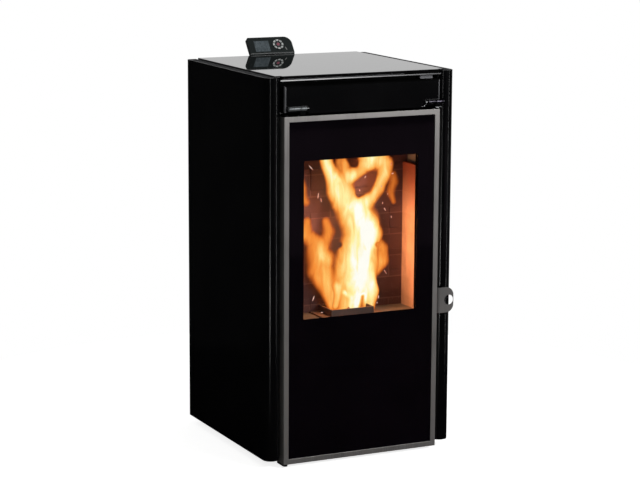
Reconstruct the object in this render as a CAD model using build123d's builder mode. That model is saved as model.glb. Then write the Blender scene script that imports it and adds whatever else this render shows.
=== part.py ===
"""Pellet stove with a full-height glass door, built as separate pieces.

Millimetres, +Z up. The origin is on the floor under the middle of the stove, the door faces -Y and the
flue leaves towards +Y.
"""

import os
from math import asin, cos, degrees, radians, sin, tan

from build123d import *

os.makedirs("parts", exist_ok=True)

# ------------------------------------------------------------------ driving sizes
# Case: two folded side panels between a base plate, a top deck and a rear panel
case_width = 489.0
case_depth = 474.0  # from the column fronts to the back of the side panels
case_height = 900.0  # side panels
front_y = -251.0  # fronts of the half-round columns
foot_gap = 20.0  # floor to the side panels
panel_sheet = 2.0
column_diameter = 40.0
column_leg = 30.0  # folded inner leg behind each column
band = 24.0  # folded top, bottom and rear edges of the side panels
panel_bend = 4.0
case_gap = 2.5  # side panels to the sheets between them
base_sheet = 3.0
deck_sheet = 3.0
frame_sheet = 3.0
rear_sheet = 2.0
screw_rows = 4
band_screw_inset = 13.0
rear_panel_drop = 22.0  # side panel top to the rear panel's top edge
frame_flange = 24.0
slot_height = 6.0  # every air slot in the case
floor_slot_length = 70.0
floor_slot_pitch = 14.0
floor_slot_count = 6
rear_slot_length = 180.0
rear_slot_pitch = 16.0
rear_slot_count = 8
low_vent_z = 330.0
high_vent_drop = 198.0  # rear panel's top to the upper slots

# Lid: one sheet of black glass on a folded tray over the whole top
lid_rise = 3.0  # above the side panels
lid_glass_thickness = 4.0
lid_glass_chamfer = 0.8
lid_glass_lap = 0.5  # glass beyond its tray on every side
lid_sheet = 2.0
lid_depth = 8.5  # lid top to the lower edge of its folded lip
lid_front_y = -246.8
lid_rear_gap = 7.0  # side panels' back to the lid's rear edge
lid_notch = 19.8  # length of the narrower tongue between the columns
deck_drop = 18.0  # lid top to the deck's upper face
lid_hinge_spacing = 300.0
lid_hinge_width = 30.0
lid_ear_width = 10.0
lid_ear_gap = 0.3
lid_hinge_inset = 6.0  # lid's rear edge to the hinge axis
lid_hinge_drop = 13.0  # lid top to the hinge axis
lid_knuckle_radius = 4.0
lid_pin_radius = 2.5

# Door: steel tray with a full-size printed glass, swinging on two upright pins
door_proud = 4.0  # ahead of the columns
door_gap = 2.75  # to each column
door_floor_gap = 9.0
door_top_drop = 90.0  # side panels' top to the door's top
door_depth = 34.0
door_back_gap = 4.0  # door tray to the frame behind it
door_strip = 12.5  # visible steel border
door_sheet = 2.0
glass_lap = 3.5  # glass behind the border
door_glass_thickness = 4.0
window_side_border = 52.75  # door's side to the clear window, were it centred
window_low_z = 353.0
window_top_border = 104.0  # door's top to the clear window
window_x = -2.0
window_lap = 4.0  # liner set back from the clear window
liner_sheet = 1.5
liner_gap = 3.0
seal_width = 10.0
seal_depth = 10.0
seal_round = 3.0
seal_gap = 0.3  # rope to the frame when the door is shut
channel_sheet = 1.5
hinge_inset = 6.0  # pin axis to the door's left side and to its front
hinge_pin_radius = 4.0
hinge_plate = 3.0
hinge_tab = 9.0  # upright tab of each bracket on the frame
hinge_washer = 0.9
hinge_boss = 6.0
running_gap = 0.05  # radial play of every pin in its hole

# Door handle: bent tab reaching round in front of the right column
handle_height = 62.0
handle_z = 368.5
handle_sheet = 2.0
handle_bend = 7.0  # outside radius of the bend
handle_stand = 2.0  # tab's back ahead of the door front
handle_leg = 17.0  # door front to the leg's rear end
handle_corner = 20.0
finger_hole = 24.0
finger_hole_inset = 12.5  # handle's outer end to the hole's middle
screw_radius = 2.0
screw_head_radius = 4.0
screw_head_height = 2.5

# Upper front panel, tilting outwards to steer the warm air
flap_bottom_gap = 5.5  # above the door
flap_slot = 12.5  # warm-air slot between the panel and the lid's lip
flap_sheet = 2.0
flap_fold = 12.0
flap_round = 1.5
barrel_radius = 4.8
barrel_length = 20.5
barrel_proud = 5.6  # barrel axis ahead of the flap and the door front
barrel_rise = 13.1  # above the flap's lower edge
barrel_spacing = 352.0  # between the middles of the two hinges, both handed alike
barrel_middle_x = 11.0  # middle of the pair, their ball ends pointing left
barrel_split = 0.4  # between the two halves of one hinge
barrel_leg = 14.0  # width of the bent leg that carries each fixed half
barrel_leg_sheet = 3.0
flap_pin_radius = 2.5
flap_pin_head = 3.6
flap_pin_neck = 1.6  # barrel end to the ball
flap_leaf = 3.0
flap_notch = 4.5  # height of the notches over the hinge legs
flap_notch_play = 3.0  # hinge's end to the end of its notch

# Firebox
shell_side_gap = 16.0  # frame sheets to the firebox shell
shell_sheet = 3.0
shell_low_z = 50.0
shell_top_gap = 2.0  # under the deck
fire_depth = 82.0  # frame to the back lining
back_lining_thickness = 16.0
side_lining_thickness = 13.0
side_lining_drop = 80.0  # baffle to the top of the side linings
lining_gap = 0.5
brick_length = 106.0
brick_course = 52.3
brick_first_course = 34.3  # cut course on the firebox floor
brick_joint = 3.0
brick_joint_depth = 1.5
brick_shift = 29.0  # upright joint of the even courses
fire_floor_z = 340.0
fire_floor = 4.0
fire_opening_border = 42.0  # frame's side to the fire opening
fire_opening_drop = 35.0  # door's top to the opening's top
ash_opening_low = 62.0
ash_opening_top = 322.0
baffle_drop = 25.0  # fire opening's top to the baffle
baffle_thickness = 12.0
baffle_front_gap = 17.0  # smoke passes in front of the baffle
baffle_side_gap = 1.0

# Burn pot and ash pan
pot_width = 112.0
pot_depth = 70.0
pot_rim_z = 358.0
pot_wall = 3.0
pot_height = 66.0
pot_flange_width = 160.0
pot_flange_depth = 78.0
pot_flange = 3.0
pot_play = 2.0
pot_hole_radius = 3.0
pot_hole_pitch = 16.0
pan_gap = 12.0  # ash pan to the shell's sides
pan_rear_gap = 20.0
pan_front_gap = 4.0
pan_height = 88.0
pan_wall = 1.5
pan_grip = 12.0
pan_grip_width = 96.0
igniter_radius = 8.0
igniter_drop = 30.0  # pot rim to the igniter axis
igniter_tail = 45.0  # behind the shell
igniter_nut_radius = 13.0
igniter_nut = 8.0

# Heat exchanger and ducts behind the firebox
tube_count = 7
tube_pitch = 46.0
tube_radius = 12.5
tube_wall = 1.5
tube_drop = 34.0  # deck to the tube axes
duct_depth = 53.0
duct_wall = 2.0
header_side_gap = 10.0
header_height = 42.0
header_top_gap = 10.0
air_duct_side = 16.0  # shell's side to the air duct
air_duct_width = 110.0
air_duct_low_z = 140.0
smoke_duct_side = 26.0  # shell's side to the smoke duct
smoke_duct_width = 110.0
smoke_duct_low_z = 110.0
smoke_duct_drop = 6.0  # under the air header
smoke_port_height = 45.0
duct_margin = 10.0

# Hopper and auger
hopper_side_gap = 17.0
hopper_front_gap = 10.0  # behind the ducts
hopper_rear_gap = 28.0  # ahead of the rear frame
hopper_wall = 1.5
hopper_rim = 9.0
hopper_rim_rise = 1.5
hopper_funnel_z = 600.0
auger_tube_radius = 37.0
auger_tube_wall = 3.0
auger_slope = 45.0
auger_top_z = 468.0  # axis where the tube ends at the chute
auger_motor_room = 109.0  # rear panel to the tube's lower end
auger_shaft_radius = 8.0
auger_play = 2.0
auger_pitch = 45.0
auger_blade = 3.0
auger_bite = 1.0  # blade's root inside the shaft
throat_length = 60.0
throat_width = 60.0
throat_wall = 2.0
throat_rise = 10.0  # collar above the highest point of the tube inside it
throat_offset = 37.0  # tube's lower end to the throat's rear
chute_side = 3.0  # chute wider than the tube on each side
port_low_z = 388.0  # pellets enter the firebox here
port_half = 34.0
port_height = 56.0
motor_radius = 30.0
motor_length = 62.0
gearbox_length = 24.0
gearbox_side = 64.0
gearbox_corner = 6.0
bearing_plate = 4.0

# Exhaust fan, flue and combustion air
flue_radius = 40.0  # outside of the 80 mm spigot
flue_wall = 1.5
flue_offset = 20.0  # smoke duct's middle to the flue
flue_z = 190.0
flue_reach = 41.0  # behind the side panels
flange_radius = 52.0
flange_sheet = 2.0
port_clearance = 2.0
fan_drum_radius = 72.0
fan_drum_width = 84.0
fan_wall = 2.0
fan_drum_gap = 8.0  # duct to the drum
suction_width = 31.0
suction_height = 100.0
fan_wheel_radius = 60.0
fan_wheel_width = 46.0
fan_eye_radius = 34.0
fan_blades = 12
fan_wheel_gap = 6.0  # wheel to the wall on the motor's side
fan_shaft_radius = 4.0
fan_shaft_reach = 20.0  # into the motor
fan_motor_standoff = 1.0
fan_motor_round = 5.0
fan_stud_radius = 4.0
fan_hub_radius = 10.0
fan_motor_radius = 34.0
fan_motor_length = 42.0
spigot_overlap = 14.0
air_pipe_radius = 25.0
air_pipe_x = 0.0
air_pipe_z = 100.0
air_pipe_reach = 36.0
air_flange_radius = 34.0

# Room-air blower
blower_gap = 12.0  # duct to the blower's drum
blower_z = 170.0
blower_radius = 58.0
blower_width = 106.0
blower_wheel_radius = 46.0
blower_wheel_width = 84.0
blower_blades = 18
blower_eye_radius = 38.0
blower_motor_radius = 20.0
blower_motor_length = 40.0
blower_motor_lip = 10.0
blower_neck_share = 0.25

# Electrics at the rear
module_inset = 94.5  # case's side to the inlet's middle
module_z = 110.0
module_width = 48.0
module_height = 60.0
module_depth = 24.0
module_bezel = 3.0
module_corner = 3.0
module_lap = 2.0  # bezel outside the opening in the rear panel
socket_width = 25.0
socket_height = 17.0
socket_depth = 16.0
socket_pin_pitch = 7.0
socket_pin_rise = 4.0
socket_pin_width = 2.0
socket_pin_height = 4.0
socket_pin_setback = 3.0
rocker_width = 19.0
rocker_length = 24.0
rocker_throw = 14.0  # degrees
rocker_gap = 0.5
rocker_depth = 8.0  # axis to the bezel
rocker_dish = 1.2
rocker_axle = 1.5
board_box_width = 44.0
board_box_depth = 130.0
board_box_height = 150.0
board_box_low_z = 262.0
board_vent_depth = 2.0
board_vent_count = 6
board_vent_pitch = 12.0
board_vent_height = 4.0
board_vent_margin = 26.0

# Control display on the rear edge
display_width = 120.0
display_height = 50.0
display_thickness = 12.0
display_x = -11.0
display_lean = 37.2  # degrees behind upright
display_setback = 9.6  # side panels' back to the tilt axis
display_rise = 2.0  # tilt axis above the lid
display_corner = 20.0
display_small_corner = 4.0
display_skin = 2.0
round_share = 0.998  # of the half thickness, for the rounded lower edge
display_bracket_width = 40.0
display_bracket_sheet = 2.0
display_bracket_drop = 24.0
display_barrel_radius = 3.4
display_stem = 5.0
display_pin_radius = 1.5
display_slot = 15.0
screen_width = 40.0
screen_height = 31.0
screen_x = -24.0  # from the display's middle
screen_rise = 24.0  # from the lower edge
screen_thickness = 1.5
keypad_x = 21.0
keypad_rise = 28.0
keypad_radius = 15.5
key_inner_radius = 7.0
key_count = 4
key_gap = 0.6
key_proud = 0.8
key_thickness = 3.5
key_well = 5.0

# Levelling feet
foot_side_inset = 79.5  # case's side to the feet
foot_front_inset = 83.0  # column fronts to the front feet
foot_rear_inset = 48.0  # side panels' back to the rear feet
foot_pad_radius = 20.0
foot_pad = 8.0
foot_chamfer = 2.0
foot_nut = 5.0
foot_nut_radius = 9.0
foot_stem_radius = 5.0
foot_boss_radius = 9.0
foot_boss = 12.0
foot_stem_spare = 5.0

# Small fittings
magnet_width = 7.0
magnet_length = 40.0
magnet_gap = 0.4
magnet_low_z = 120.0
magnet_high_z = 640.0
catch_inset = 23.0  # frame's side to the catch's middle
catch_width = 33.0
catch_height = 9.0
catch_lift = 3.0  # deck's upper face to the catch's upper edge
catch_reach = 14.0
catch_sheet = 2.0
clip_length = 30.0
clip_count = 4  # on each side
clip_end = 98.0  # door's end to the middle of the last clip
clip_lap = 6.0
clip_sheet = 1.5
clip_leg = 10.0

# ------------------------------------------------------------------ planes and limits that follow
half_width = case_width / 2
column_r = column_diameter / 2
column_y = front_y + column_r
recess = half_width - column_diameter  # columns' inner sides
rear_y = front_y + case_depth
panel_z0 = foot_gap
panel_z1 = foot_gap + case_height
wide_half = half_width - panel_sheet - case_gap
frame_half = recess - case_gap
step_y = column_y + column_leg + case_gap
base_z0 = panel_z0 + panel_sheet
base_z1 = base_z0 + base_sheet
rear_outer_y = rear_y - panel_sheet  # outside of the rear panel
rear_inner_y = rear_outer_y - rear_sheet
rear_top_z = panel_z1 - rear_panel_drop
rear_half = half_width - panel_sheet / 2 - panel_bend
high_vent_z = rear_top_z - high_vent_drop
foot_x = half_width - foot_side_inset
foot_front_y = front_y + foot_front_inset
foot_rear_y = rear_y - foot_rear_inset
module_x = -(half_width - module_inset)
display_y = rear_y + display_setback

lid_z1 = panel_z1 + lid_rise
lid_glass_z = lid_z1 - lid_glass_thickness
lid_tray_z = lid_glass_z - lid_sheet
lid_lip_z = lid_z1 - lid_depth
lid_rear_y = rear_y - lid_rear_gap
deck_z1 = lid_z1 - deck_drop
deck_z0 = deck_z1 - deck_sheet

door_top_z = panel_z1 - door_top_drop
door_y = front_y - door_proud
door_back_y = door_y + door_depth
door_half = recess - door_gap
window_width = 2 * (door_half - window_side_border)
window_high_z = door_top_z - window_top_border
finger_hole_x = half_width - finger_hole_inset
frame_y0 = door_back_y + door_back_gap
fire_y = frame_y0 + frame_sheet
flap_z0 = door_top_z + flap_bottom_gap
flap_z1 = lid_lip_z - flap_slot
flap_half = recess - door_gap

fire_opening_side = frame_half - fire_opening_border
fire_opening_top = door_top_z - fire_opening_drop
baffle_z = fire_opening_top - baffle_drop
side_lining_top = baffle_z - side_lining_drop
catch_x = frame_half - catch_inset
shell_half = frame_half - shell_side_gap
shell_inner = shell_half - shell_sheet
fire_half = shell_inner - side_lining_thickness
lining_y = fire_y + fire_depth
shell_inner_y = lining_y + back_lining_thickness
shell_y = shell_inner_y + shell_sheet
shell_z1 = deck_z0 - shell_top_gap
fire_floor_z0 = fire_floor_z - fire_floor
pot_y = fire_y + fire_depth / 2
tube_z = deck_z0 - tube_drop
tube_xs = [(i - (tube_count - 1) / 2) * tube_pitch for i in range(tube_count)]
duct_y = shell_y + duct_depth
header_z1 = shell_z1 - header_top_gap
header_z0 = header_z1 - header_height
air_duct_x = -(shell_half - air_duct_side - air_duct_width / 2)
smoke_duct_x = shell_half - smoke_duct_side - smoke_duct_width / 2
smoke_duct_top_z = header_z0 - smoke_duct_drop
flue_x = smoke_duct_x + flue_offset
blower_x = air_duct_x
blower_y = duct_y + blower_radius + blower_gap

post_width = frame_flange
screw_step = (rear_top_z - base_z1 - 2 * post_width) / (screw_rows - 1)
screw_heights = [base_z1 + post_width + i * screw_step for i in range(screw_rows)]
post_screws = [(side * (frame_half - post_width / 2), z) for side in (-1, 1) for z in screw_heights]
band_screws = [(side * (half_width - band_screw_inset), z) for side in (-1, 1) for z in screw_heights]

auger_end_y = duct_y + duct_wall  # tube's upper end, where the chute begins
auger_low_y = rear_inner_y - auger_motor_room
auger_run = auger_low_y - auger_end_y
auger_low_z = auger_top_z - auger_run * tan(radians(auger_slope))
auger_length = auger_run / cos(radians(auger_slope))
auger_axis = Vector(0, -cos(radians(auger_slope)), sin(radians(auger_slope)))


# ------------------------------------------------------------------ shared shapes
def block(x, y, z, mode=Mode.ADD):
    """Rectangular block between two limits on each axis."""
    with Locations(((x[0] + x[1]) / 2, (y[0] + y[1]) / 2, (z[0] + z[1]) / 2)):
        Box(x[1] - x[0], y[1] - y[0], z[1] - z[0], mode=mode)


def upright(y):
    """Sketch plane that faces the front at depth y, with x to the right and z up."""
    return Plane(origin=(0, y, 0), x_dir=(1, 0, 0), z_dir=(0, -1, 0))


def sideways(x):
    """Sketch plane that faces the right at place x, with local x to the back and local y up."""
    return Plane(origin=(x, 0, 0), x_dir=(0, 1, 0), z_dir=(1, 0, 0))


def rectangle(x, z, mode=Mode.ADD):
    """Sketch rectangle between two limits on each local axis."""
    with Locations(((x[0] + x[1]) / 2, (z[0] + z[1]) / 2)):
        Rectangle(x[1] - x[0], z[1] - z[0], mode=mode)


def rod(x, y, z, radius, length, along, mode=Mode.ADD):
    """Cylinder that starts at a point and runs along a direction."""
    with Locations(Plane(origin=(x, y, z), z_dir=along)):
        Cylinder(radius, length, align=(Align.CENTER, Align.CENTER, Align.MIN), mode=mode)


def finish(piece, name):
    """Label a finished piece and write it."""
    piece.part.label = name
    export_step(piece.part, f"parts/{name}.step")


TO_BACK = (0, 1, 0)
TO_RIGHT = (1, 0, 0)
UP = (0, 0, 1)


# ------------------------------------------------------------------ case
def side_panel(side):
    """One sheet: folded rear edge, flat wall, half-round column and inner leg, closed by two end bands."""
    wall_x = side * (half_width - panel_sheet / 2)
    leg_x = side * (recess + panel_sheet / 2)
    fold_y = rear_y - panel_sheet / 2
    with BuildPart() as panel:
        with BuildSketch(Plane.XY.offset(panel_z0)):
            with BuildLine():
                Line((leg_x, column_y + column_leg), (leg_x, column_y))
                ThreePointArc(
                    (leg_x, column_y),
                    (side * (half_width - column_r), front_y + panel_sheet / 2),
                    (wall_x, column_y),
                )
                FilletPolyline(
                    (wall_x, column_y),
                    (wall_x, fold_y),
                    (side * (half_width - band), fold_y),
                    radius=panel_bend,
                )
            trace(line_width=panel_sheet)
        extrude(amount=case_height)
        for z in (panel_z0, panel_z1 - panel_sheet):
            with BuildSketch(Plane.XY.offset(z)) as end:
                with BuildLine():
                    Polyline(
                        (side * half_width, column_y),
                        (side * half_width, rear_y),
                        (side * (half_width - band), rear_y),
                        (side * (half_width - band), column_y),
                        (side * recess, column_y),
                    )
                    ThreePointArc(
                        (side * recess, column_y),
                        (side * (half_width - column_r), front_y),
                        (side * half_width, column_y),
                    )
                make_face()
                corner = end.vertices().sort_by_distance((side * half_width, rear_y, z))[0]
                fillet(corner, radius=panel_bend + panel_sheet / 2)
            extrude(amount=panel_sheet)
        leg_room = sorted((side * recess, side * (half_width - band)))
        block(leg_room, (column_y, step_y), (lid_lip_z - case_gap, panel_z1), mode=Mode.SUBTRACT)
        with BuildSketch(upright(rear_y)):
            with Locations([(x, z) for x, z in band_screws if x * side > 0]):
                Circle(screw_radius + running_gap)
        extrude(amount=panel_sheet, mode=Mode.SUBTRACT)
    return panel


side_panel_left = side_panel(-1)
side_panel_right = side_panel(1)


def case_plan(rear):
    """Plan of a sheet that closes the case: narrow between the columns and full width behind them."""
    rectangle((-frame_half, frame_half), (fire_y, rear))
    rectangle((-wide_half, wide_half), (step_y, rear))


foot_places = [
    ("foot_front_left", -foot_x, foot_front_y),
    ("foot_front_right", foot_x, foot_front_y),
    ("foot_rear_left", -foot_x, foot_rear_y),
    ("foot_rear_right", foot_x, foot_rear_y),
]

with BuildPart() as base_plate:
    with BuildSketch(Plane.XY.offset(base_z0)):
        case_plan(rear_inner_y)
        with Locations((blower_x, blower_y)):
            with GridLocations(0, floor_slot_pitch, 1, floor_slot_count):
                SlotOverall(floor_slot_length, slot_height, mode=Mode.SUBTRACT)
    extrude(amount=base_sheet)
    with BuildSketch(Plane.XY.offset(base_z1)):
        with Locations([(x, y) for _, x, y in foot_places]):
            Circle(foot_boss_radius)
    extrude(amount=foot_boss)
    with BuildSketch(Plane.XY.offset(base_z0)):
        with Locations([(x, y) for _, x, y in foot_places]):
            Circle(foot_stem_radius + running_gap)
    extrude(amount=base_sheet + foot_boss, mode=Mode.SUBTRACT)


def levelling_foot(x, y):
    """Round pad, hexagon for a wrench and threaded stem, in one piece."""
    with BuildPart() as foot:
        with Locations((x, y, 0)):
            Cylinder(foot_pad_radius, foot_pad, align=(Align.CENTER, Align.CENTER, Align.MIN))
        chamfer(foot.edges().filter_by(GeomType.CIRCLE).sort_by(Axis.Z)[-1], length=foot_chamfer)
        with BuildSketch(Plane(origin=(x, y, foot_pad))):
            RegularPolygon(foot_nut_radius, 6)
        extrude(amount=foot_nut)
        stem_top = base_z1 + foot_boss + foot_stem_spare
        rod(x, y, foot_pad, foot_stem_radius, stem_top - foot_pad, UP)
    return foot


feet = [(name, levelling_foot(x, y)) for name, x, y in foot_places]

hopper_half = frame_half - hopper_side_gap
hopper_front = duct_y + hopper_front_gap
hopper_rear = rear_inner_y - hopper_rear_gap
hopper_mid = (hopper_front + hopper_rear) / 2

with BuildPart() as top_deck:
    with BuildSketch(Plane.XY.offset(deck_z0)):
        case_plan(rear_inner_y)
        rectangle((-hopper_half, hopper_half), (hopper_front, hopper_rear), mode=Mode.SUBTRACT)
    extrude(amount=deck_sheet)

with BuildPart() as face_frame:
    with BuildSketch(upright(fire_y)):
        rectangle((-frame_half, frame_half), (base_z0, deck_z0))
        fire = (-fire_opening_side, fire_opening_side)
        rectangle(fire, (ash_opening_low, ash_opening_top), mode=Mode.SUBTRACT)
        rectangle(fire, (fire_floor_z, fire_opening_top), mode=Mode.SUBTRACT)
        with Locations([(x, tube_z) for x in tube_xs]):
            Circle(tube_radius + running_gap, mode=Mode.SUBTRACT)
    extrude(amount=frame_sheet)
    for side in (-1, 1):
        edges = sorted((side * frame_half, side * (frame_half - frame_sheet)))
        block(edges, (fire_y, fire_y + frame_flange), (base_z1, deck_z0))

with BuildPart() as rear_frame:
    with BuildSketch(upright(rear_inner_y)):
        rectangle((-frame_half, frame_half), (base_z1, deck_z0))
        inside = frame_half - post_width
        rectangle((-inside, inside), (base_z1 + post_width, deck_z0 - post_width), mode=Mode.SUBTRACT)
    extrude(amount=frame_sheet)
    for side in (-1, 1):
        edges = sorted((side * frame_half, side * (frame_half - frame_sheet)))
        block(edges, (rear_inner_y - post_width, rear_inner_y), (base_z1, deck_z0))
    with BuildSketch(upright(rear_inner_y)):
        with Locations(post_screws):
            Circle(screw_radius + running_gap)
    extrude(amount=frame_sheet, mode=Mode.SUBTRACT)

with BuildPart() as rear_panel:
    with BuildSketch(upright(rear_outer_y)):
        rectangle((-rear_half, rear_half), (base_z0, rear_top_z))
        with Locations(post_screws + band_screws):
            Circle(screw_radius + running_gap, mode=Mode.SUBTRACT)
        with Locations((flue_x, flue_z)):
            Circle(flue_radius + port_clearance, mode=Mode.SUBTRACT)
        with Locations((air_pipe_x, air_pipe_z)):
            Circle(air_pipe_radius + port_clearance, mode=Mode.SUBTRACT)
        with Locations((module_x, module_z)):
            Rectangle(module_width - 2 * module_lap, module_height - 2 * module_lap, mode=Mode.SUBTRACT)
        with Locations((0, low_vent_z), (0, high_vent_z)):
            with GridLocations(0, rear_slot_pitch, 1, rear_slot_count):
                SlotOverall(rear_slot_length, slot_height, mode=Mode.SUBTRACT)
    extrude(amount=rear_sheet)

with BuildPart() as case_screws:
    for x, z in post_screws:
        rod(x, rear_outer_y, z, screw_head_radius, screw_head_height, TO_BACK)
        rod(x, rear_inner_y - frame_sheet, z, screw_radius, frame_sheet + rear_sheet, TO_BACK)
    for x, z in band_screws:
        rod(x, rear_y, z, screw_head_radius, screw_head_height, TO_BACK)
        rod(x, rear_inner_y - frame_sheet, z, screw_radius, frame_sheet + rear_sheet + panel_sheet, TO_BACK)

# ------------------------------------------------------------------ firebox
port_z0 = port_low_z
port_z1 = port_z0 + port_height
smoke_port = (
    (smoke_duct_x - smoke_duct_width / 2 + duct_margin, smoke_duct_x + smoke_duct_width / 2 - duct_margin),
    (smoke_duct_top_z - duct_margin - smoke_port_height, smoke_duct_top_z - duct_margin),
)
igniter_z = pot_rim_z - igniter_drop

with BuildPart() as firebox_shell:
    block((-shell_half, shell_half), (fire_y, shell_y), (shell_low_z, shell_z1))
    room = ((-shell_inner, shell_inner), (fire_y, shell_inner_y))
    block(*room, (fire_floor_z, shell_z1 - shell_sheet), mode=Mode.SUBTRACT)
    block(*room, (shell_low_z + shell_sheet, fire_floor_z0), mode=Mode.SUBTRACT)
    with BuildSketch(Plane.XY.offset(fire_floor_z0)):
        with Locations((0, pot_y)):
            Rectangle(pot_width + pot_play, pot_depth + pot_play)
    extrude(amount=fire_floor, mode=Mode.SUBTRACT)
    with BuildSketch(upright(shell_y)):
        rectangle((-port_half, port_half), (port_z0, port_z1))
        rectangle(*smoke_port)
        with Locations([(x, tube_z) for x in tube_xs]):
            Circle(tube_radius + running_gap)
        with Locations((0, igniter_z)):
            Circle(igniter_radius + running_gap)
        with Locations((air_pipe_x, air_pipe_z)):
            Circle(air_pipe_radius - duct_wall)
    extrude(amount=shell_sheet, mode=Mode.SUBTRACT)

with BuildPart() as back_lining:
    block(
        (-shell_inner + lining_gap, shell_inner - lining_gap),
        (lining_y, shell_inner_y),
        (fire_floor_z, baffle_z),
    )
    courses = int((baffle_z - fire_floor_z) / brick_course) + 1
    first_z = fire_floor_z + brick_first_course
    with BuildSketch(upright(lining_y)):
        for i in range(courses):
            low = max(first_z + (i - 1) * brick_course, fire_floor_z)
            high = min(first_z + i * brick_course, baffle_z)
            if high - low > brick_joint:
                if high < baffle_z:
                    with Locations((0, high)):
                        Rectangle(2 * shell_inner, brick_joint)
                shift = brick_shift - (brick_length / 2 if i % 2 else 0)
                bricks = int(2 * shell_inner / brick_length) + 1
                for j in range(-bricks, bricks):
                    x = shift + j * brick_length
                    if abs(x) < fire_half - brick_joint:
                        with Locations((x, (low + high) / 2)):
                            Rectangle(brick_joint, high - low)
    extrude(amount=-brick_joint_depth, mode=Mode.SUBTRACT)
    with BuildSketch(upright(shell_inner_y)):
        rectangle((-port_half, port_half), (port_z0, port_z1))
    extrude(amount=back_lining_thickness, mode=Mode.SUBTRACT)


def side_lining(side):
    """Smooth slab that stands between the shell and the burning chamber."""
    edges = sorted((side * fire_half, side * (shell_inner - lining_gap)))
    with BuildPart() as lining:
        block(edges, (fire_y, lining_y), (fire_floor_z, side_lining_top))
    return lining


side_lining_left = side_lining(-1)
side_lining_right = side_lining(1)

with BuildPart() as baffle_plate:
    block(
        (-shell_inner + baffle_side_gap, shell_inner - baffle_side_gap),
        (fire_y + baffle_front_gap, shell_inner_y),
        (baffle_z, baffle_z + baffle_thickness),
    )
    fillet(baffle_plate.edges().filter_by(Axis.X).group_by(Axis.Y)[0], radius=baffle_thickness / 4)

pot_half = pot_width / 2
pot_low_z = pot_rim_z - pot_height
with BuildPart() as burn_pot:
    deep = (pot_y - pot_depth / 2, pot_y + pot_depth / 2)
    block((-pot_half, pot_half), deep, (pot_low_z, pot_rim_z))
    with BuildSketch(Plane.XY.offset(fire_floor_z)):
        with Locations((0, pot_y)):
            Rectangle(pot_flange_width, pot_flange_depth)
    extrude(amount=pot_flange)
    block(
        (-pot_half + pot_wall, pot_half - pot_wall),
        (deep[0] + pot_wall, deep[1] - pot_wall),
        (pot_low_z + pot_wall, pot_rim_z),
        mode=Mode.SUBTRACT,
    )
    with BuildSketch(Plane.XY.offset(pot_low_z)):
        with Locations((0, pot_y)):
            with GridLocations(pot_hole_pitch, pot_hole_pitch, 5, 3):
                Circle(pot_hole_radius)
    extrude(amount=pot_wall, mode=Mode.SUBTRACT)
    with BuildSketch(upright(deep[1])):
        with Locations((0, igniter_z)):
            Circle(igniter_radius - pot_wall / 3)
            with GridLocations(pot_hole_pitch * 4, 0, 2, 1):
                Circle(pot_hole_radius)
    extrude(amount=pot_depth, mode=Mode.SUBTRACT)

with BuildPart() as ash_pan:
    pan_x = shell_inner - pan_gap
    pan_y = (fire_y + pan_front_gap, shell_inner_y - pan_rear_gap)
    pan_z0 = shell_low_z + shell_sheet
    pan_z1 = pan_z0 + pan_height
    block((-pan_x, pan_x), pan_y, (pan_z0, pan_z1))
    block(
        (-pan_x + pan_wall, pan_x - pan_wall),
        (pan_y[0] + pan_wall, pan_y[1] - pan_wall),
        (pan_z0 + pan_wall, pan_z1),
        mode=Mode.SUBTRACT,
    )
    grip_half = pan_grip_width / 2
    block((-grip_half, grip_half), (pan_y[0], pan_y[0] + pan_grip), (pan_z1 - pan_wall, pan_z1))

with BuildPart() as igniter:
    igniter_y = pot_y + pot_depth / 2
    rod(0, igniter_y, igniter_z, igniter_radius, shell_y + igniter_tail - igniter_y, TO_BACK)
    rod(0, shell_y, igniter_z, igniter_nut_radius, igniter_nut, TO_BACK)

with BuildPart() as heat_exchanger_tubes:
    with BuildSketch(upright(shell_y + duct_margin)):
        with Locations([(x, tube_z) for x in tube_xs]):
            Circle(tube_radius)
            Circle(tube_radius - tube_wall, mode=Mode.SUBTRACT)
    extrude(amount=shell_y + duct_margin - frame_y0)

# ------------------------------------------------------------------ ducts behind the firebox
header_half = shell_half - header_side_gap
air_x = (air_duct_x - air_duct_width / 2, air_duct_x + air_duct_width / 2)
smoke_x = (smoke_duct_x - smoke_duct_width / 2, smoke_duct_x + smoke_duct_width / 2)


def inner(limits):
    """The same limits inside the duct wall."""
    return (limits[0] + duct_wall, limits[1] - duct_wall)


blower_neck_z = (blower_z + blower_radius * blower_neck_share, blower_z + blower_radius)
with BuildPart() as air_duct:
    block(air_x, (shell_y, duct_y), (air_duct_low_z, header_z0 + duct_wall))
    block((-header_half, header_half), (shell_y, duct_y), (header_z0, header_z1))
    hollow_y = (shell_y, duct_y - duct_wall)
    block(inner(air_x), hollow_y, inner((air_duct_low_z, header_z1)), mode=Mode.SUBTRACT)
    block(inner((-header_half, header_half)), hollow_y, inner((header_z0, header_z1)), mode=Mode.SUBTRACT)
    block(inner(air_x), (duct_y - duct_wall, duct_y), blower_neck_z, mode=Mode.SUBTRACT)

drum_x0 = flue_x - fan_drum_width / 2
drum_x1 = flue_x + fan_drum_width / 2
suction_x = (drum_x0 - suction_width, drum_x0)
suction_z = (flue_z - suction_height / 2, flue_z + suction_height / 2)
with BuildPart() as smoke_duct:
    block(smoke_x, (shell_y, duct_y), (smoke_duct_low_z, smoke_duct_top_z))
    hollow_z = inner((smoke_duct_low_z, smoke_duct_top_z))
    block(inner(smoke_x), (shell_y, duct_y - duct_wall), hollow_z, mode=Mode.SUBTRACT)
    block(inner(suction_x), (duct_y - duct_wall, duct_y), inner(suction_z), mode=Mode.SUBTRACT)

# ------------------------------------------------------------------ hopper and auger
def axis_z(y):
    """Height of the auger's axis at depth y."""
    return auger_low_z + (auger_low_y - y) * tan(radians(auger_slope))


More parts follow.
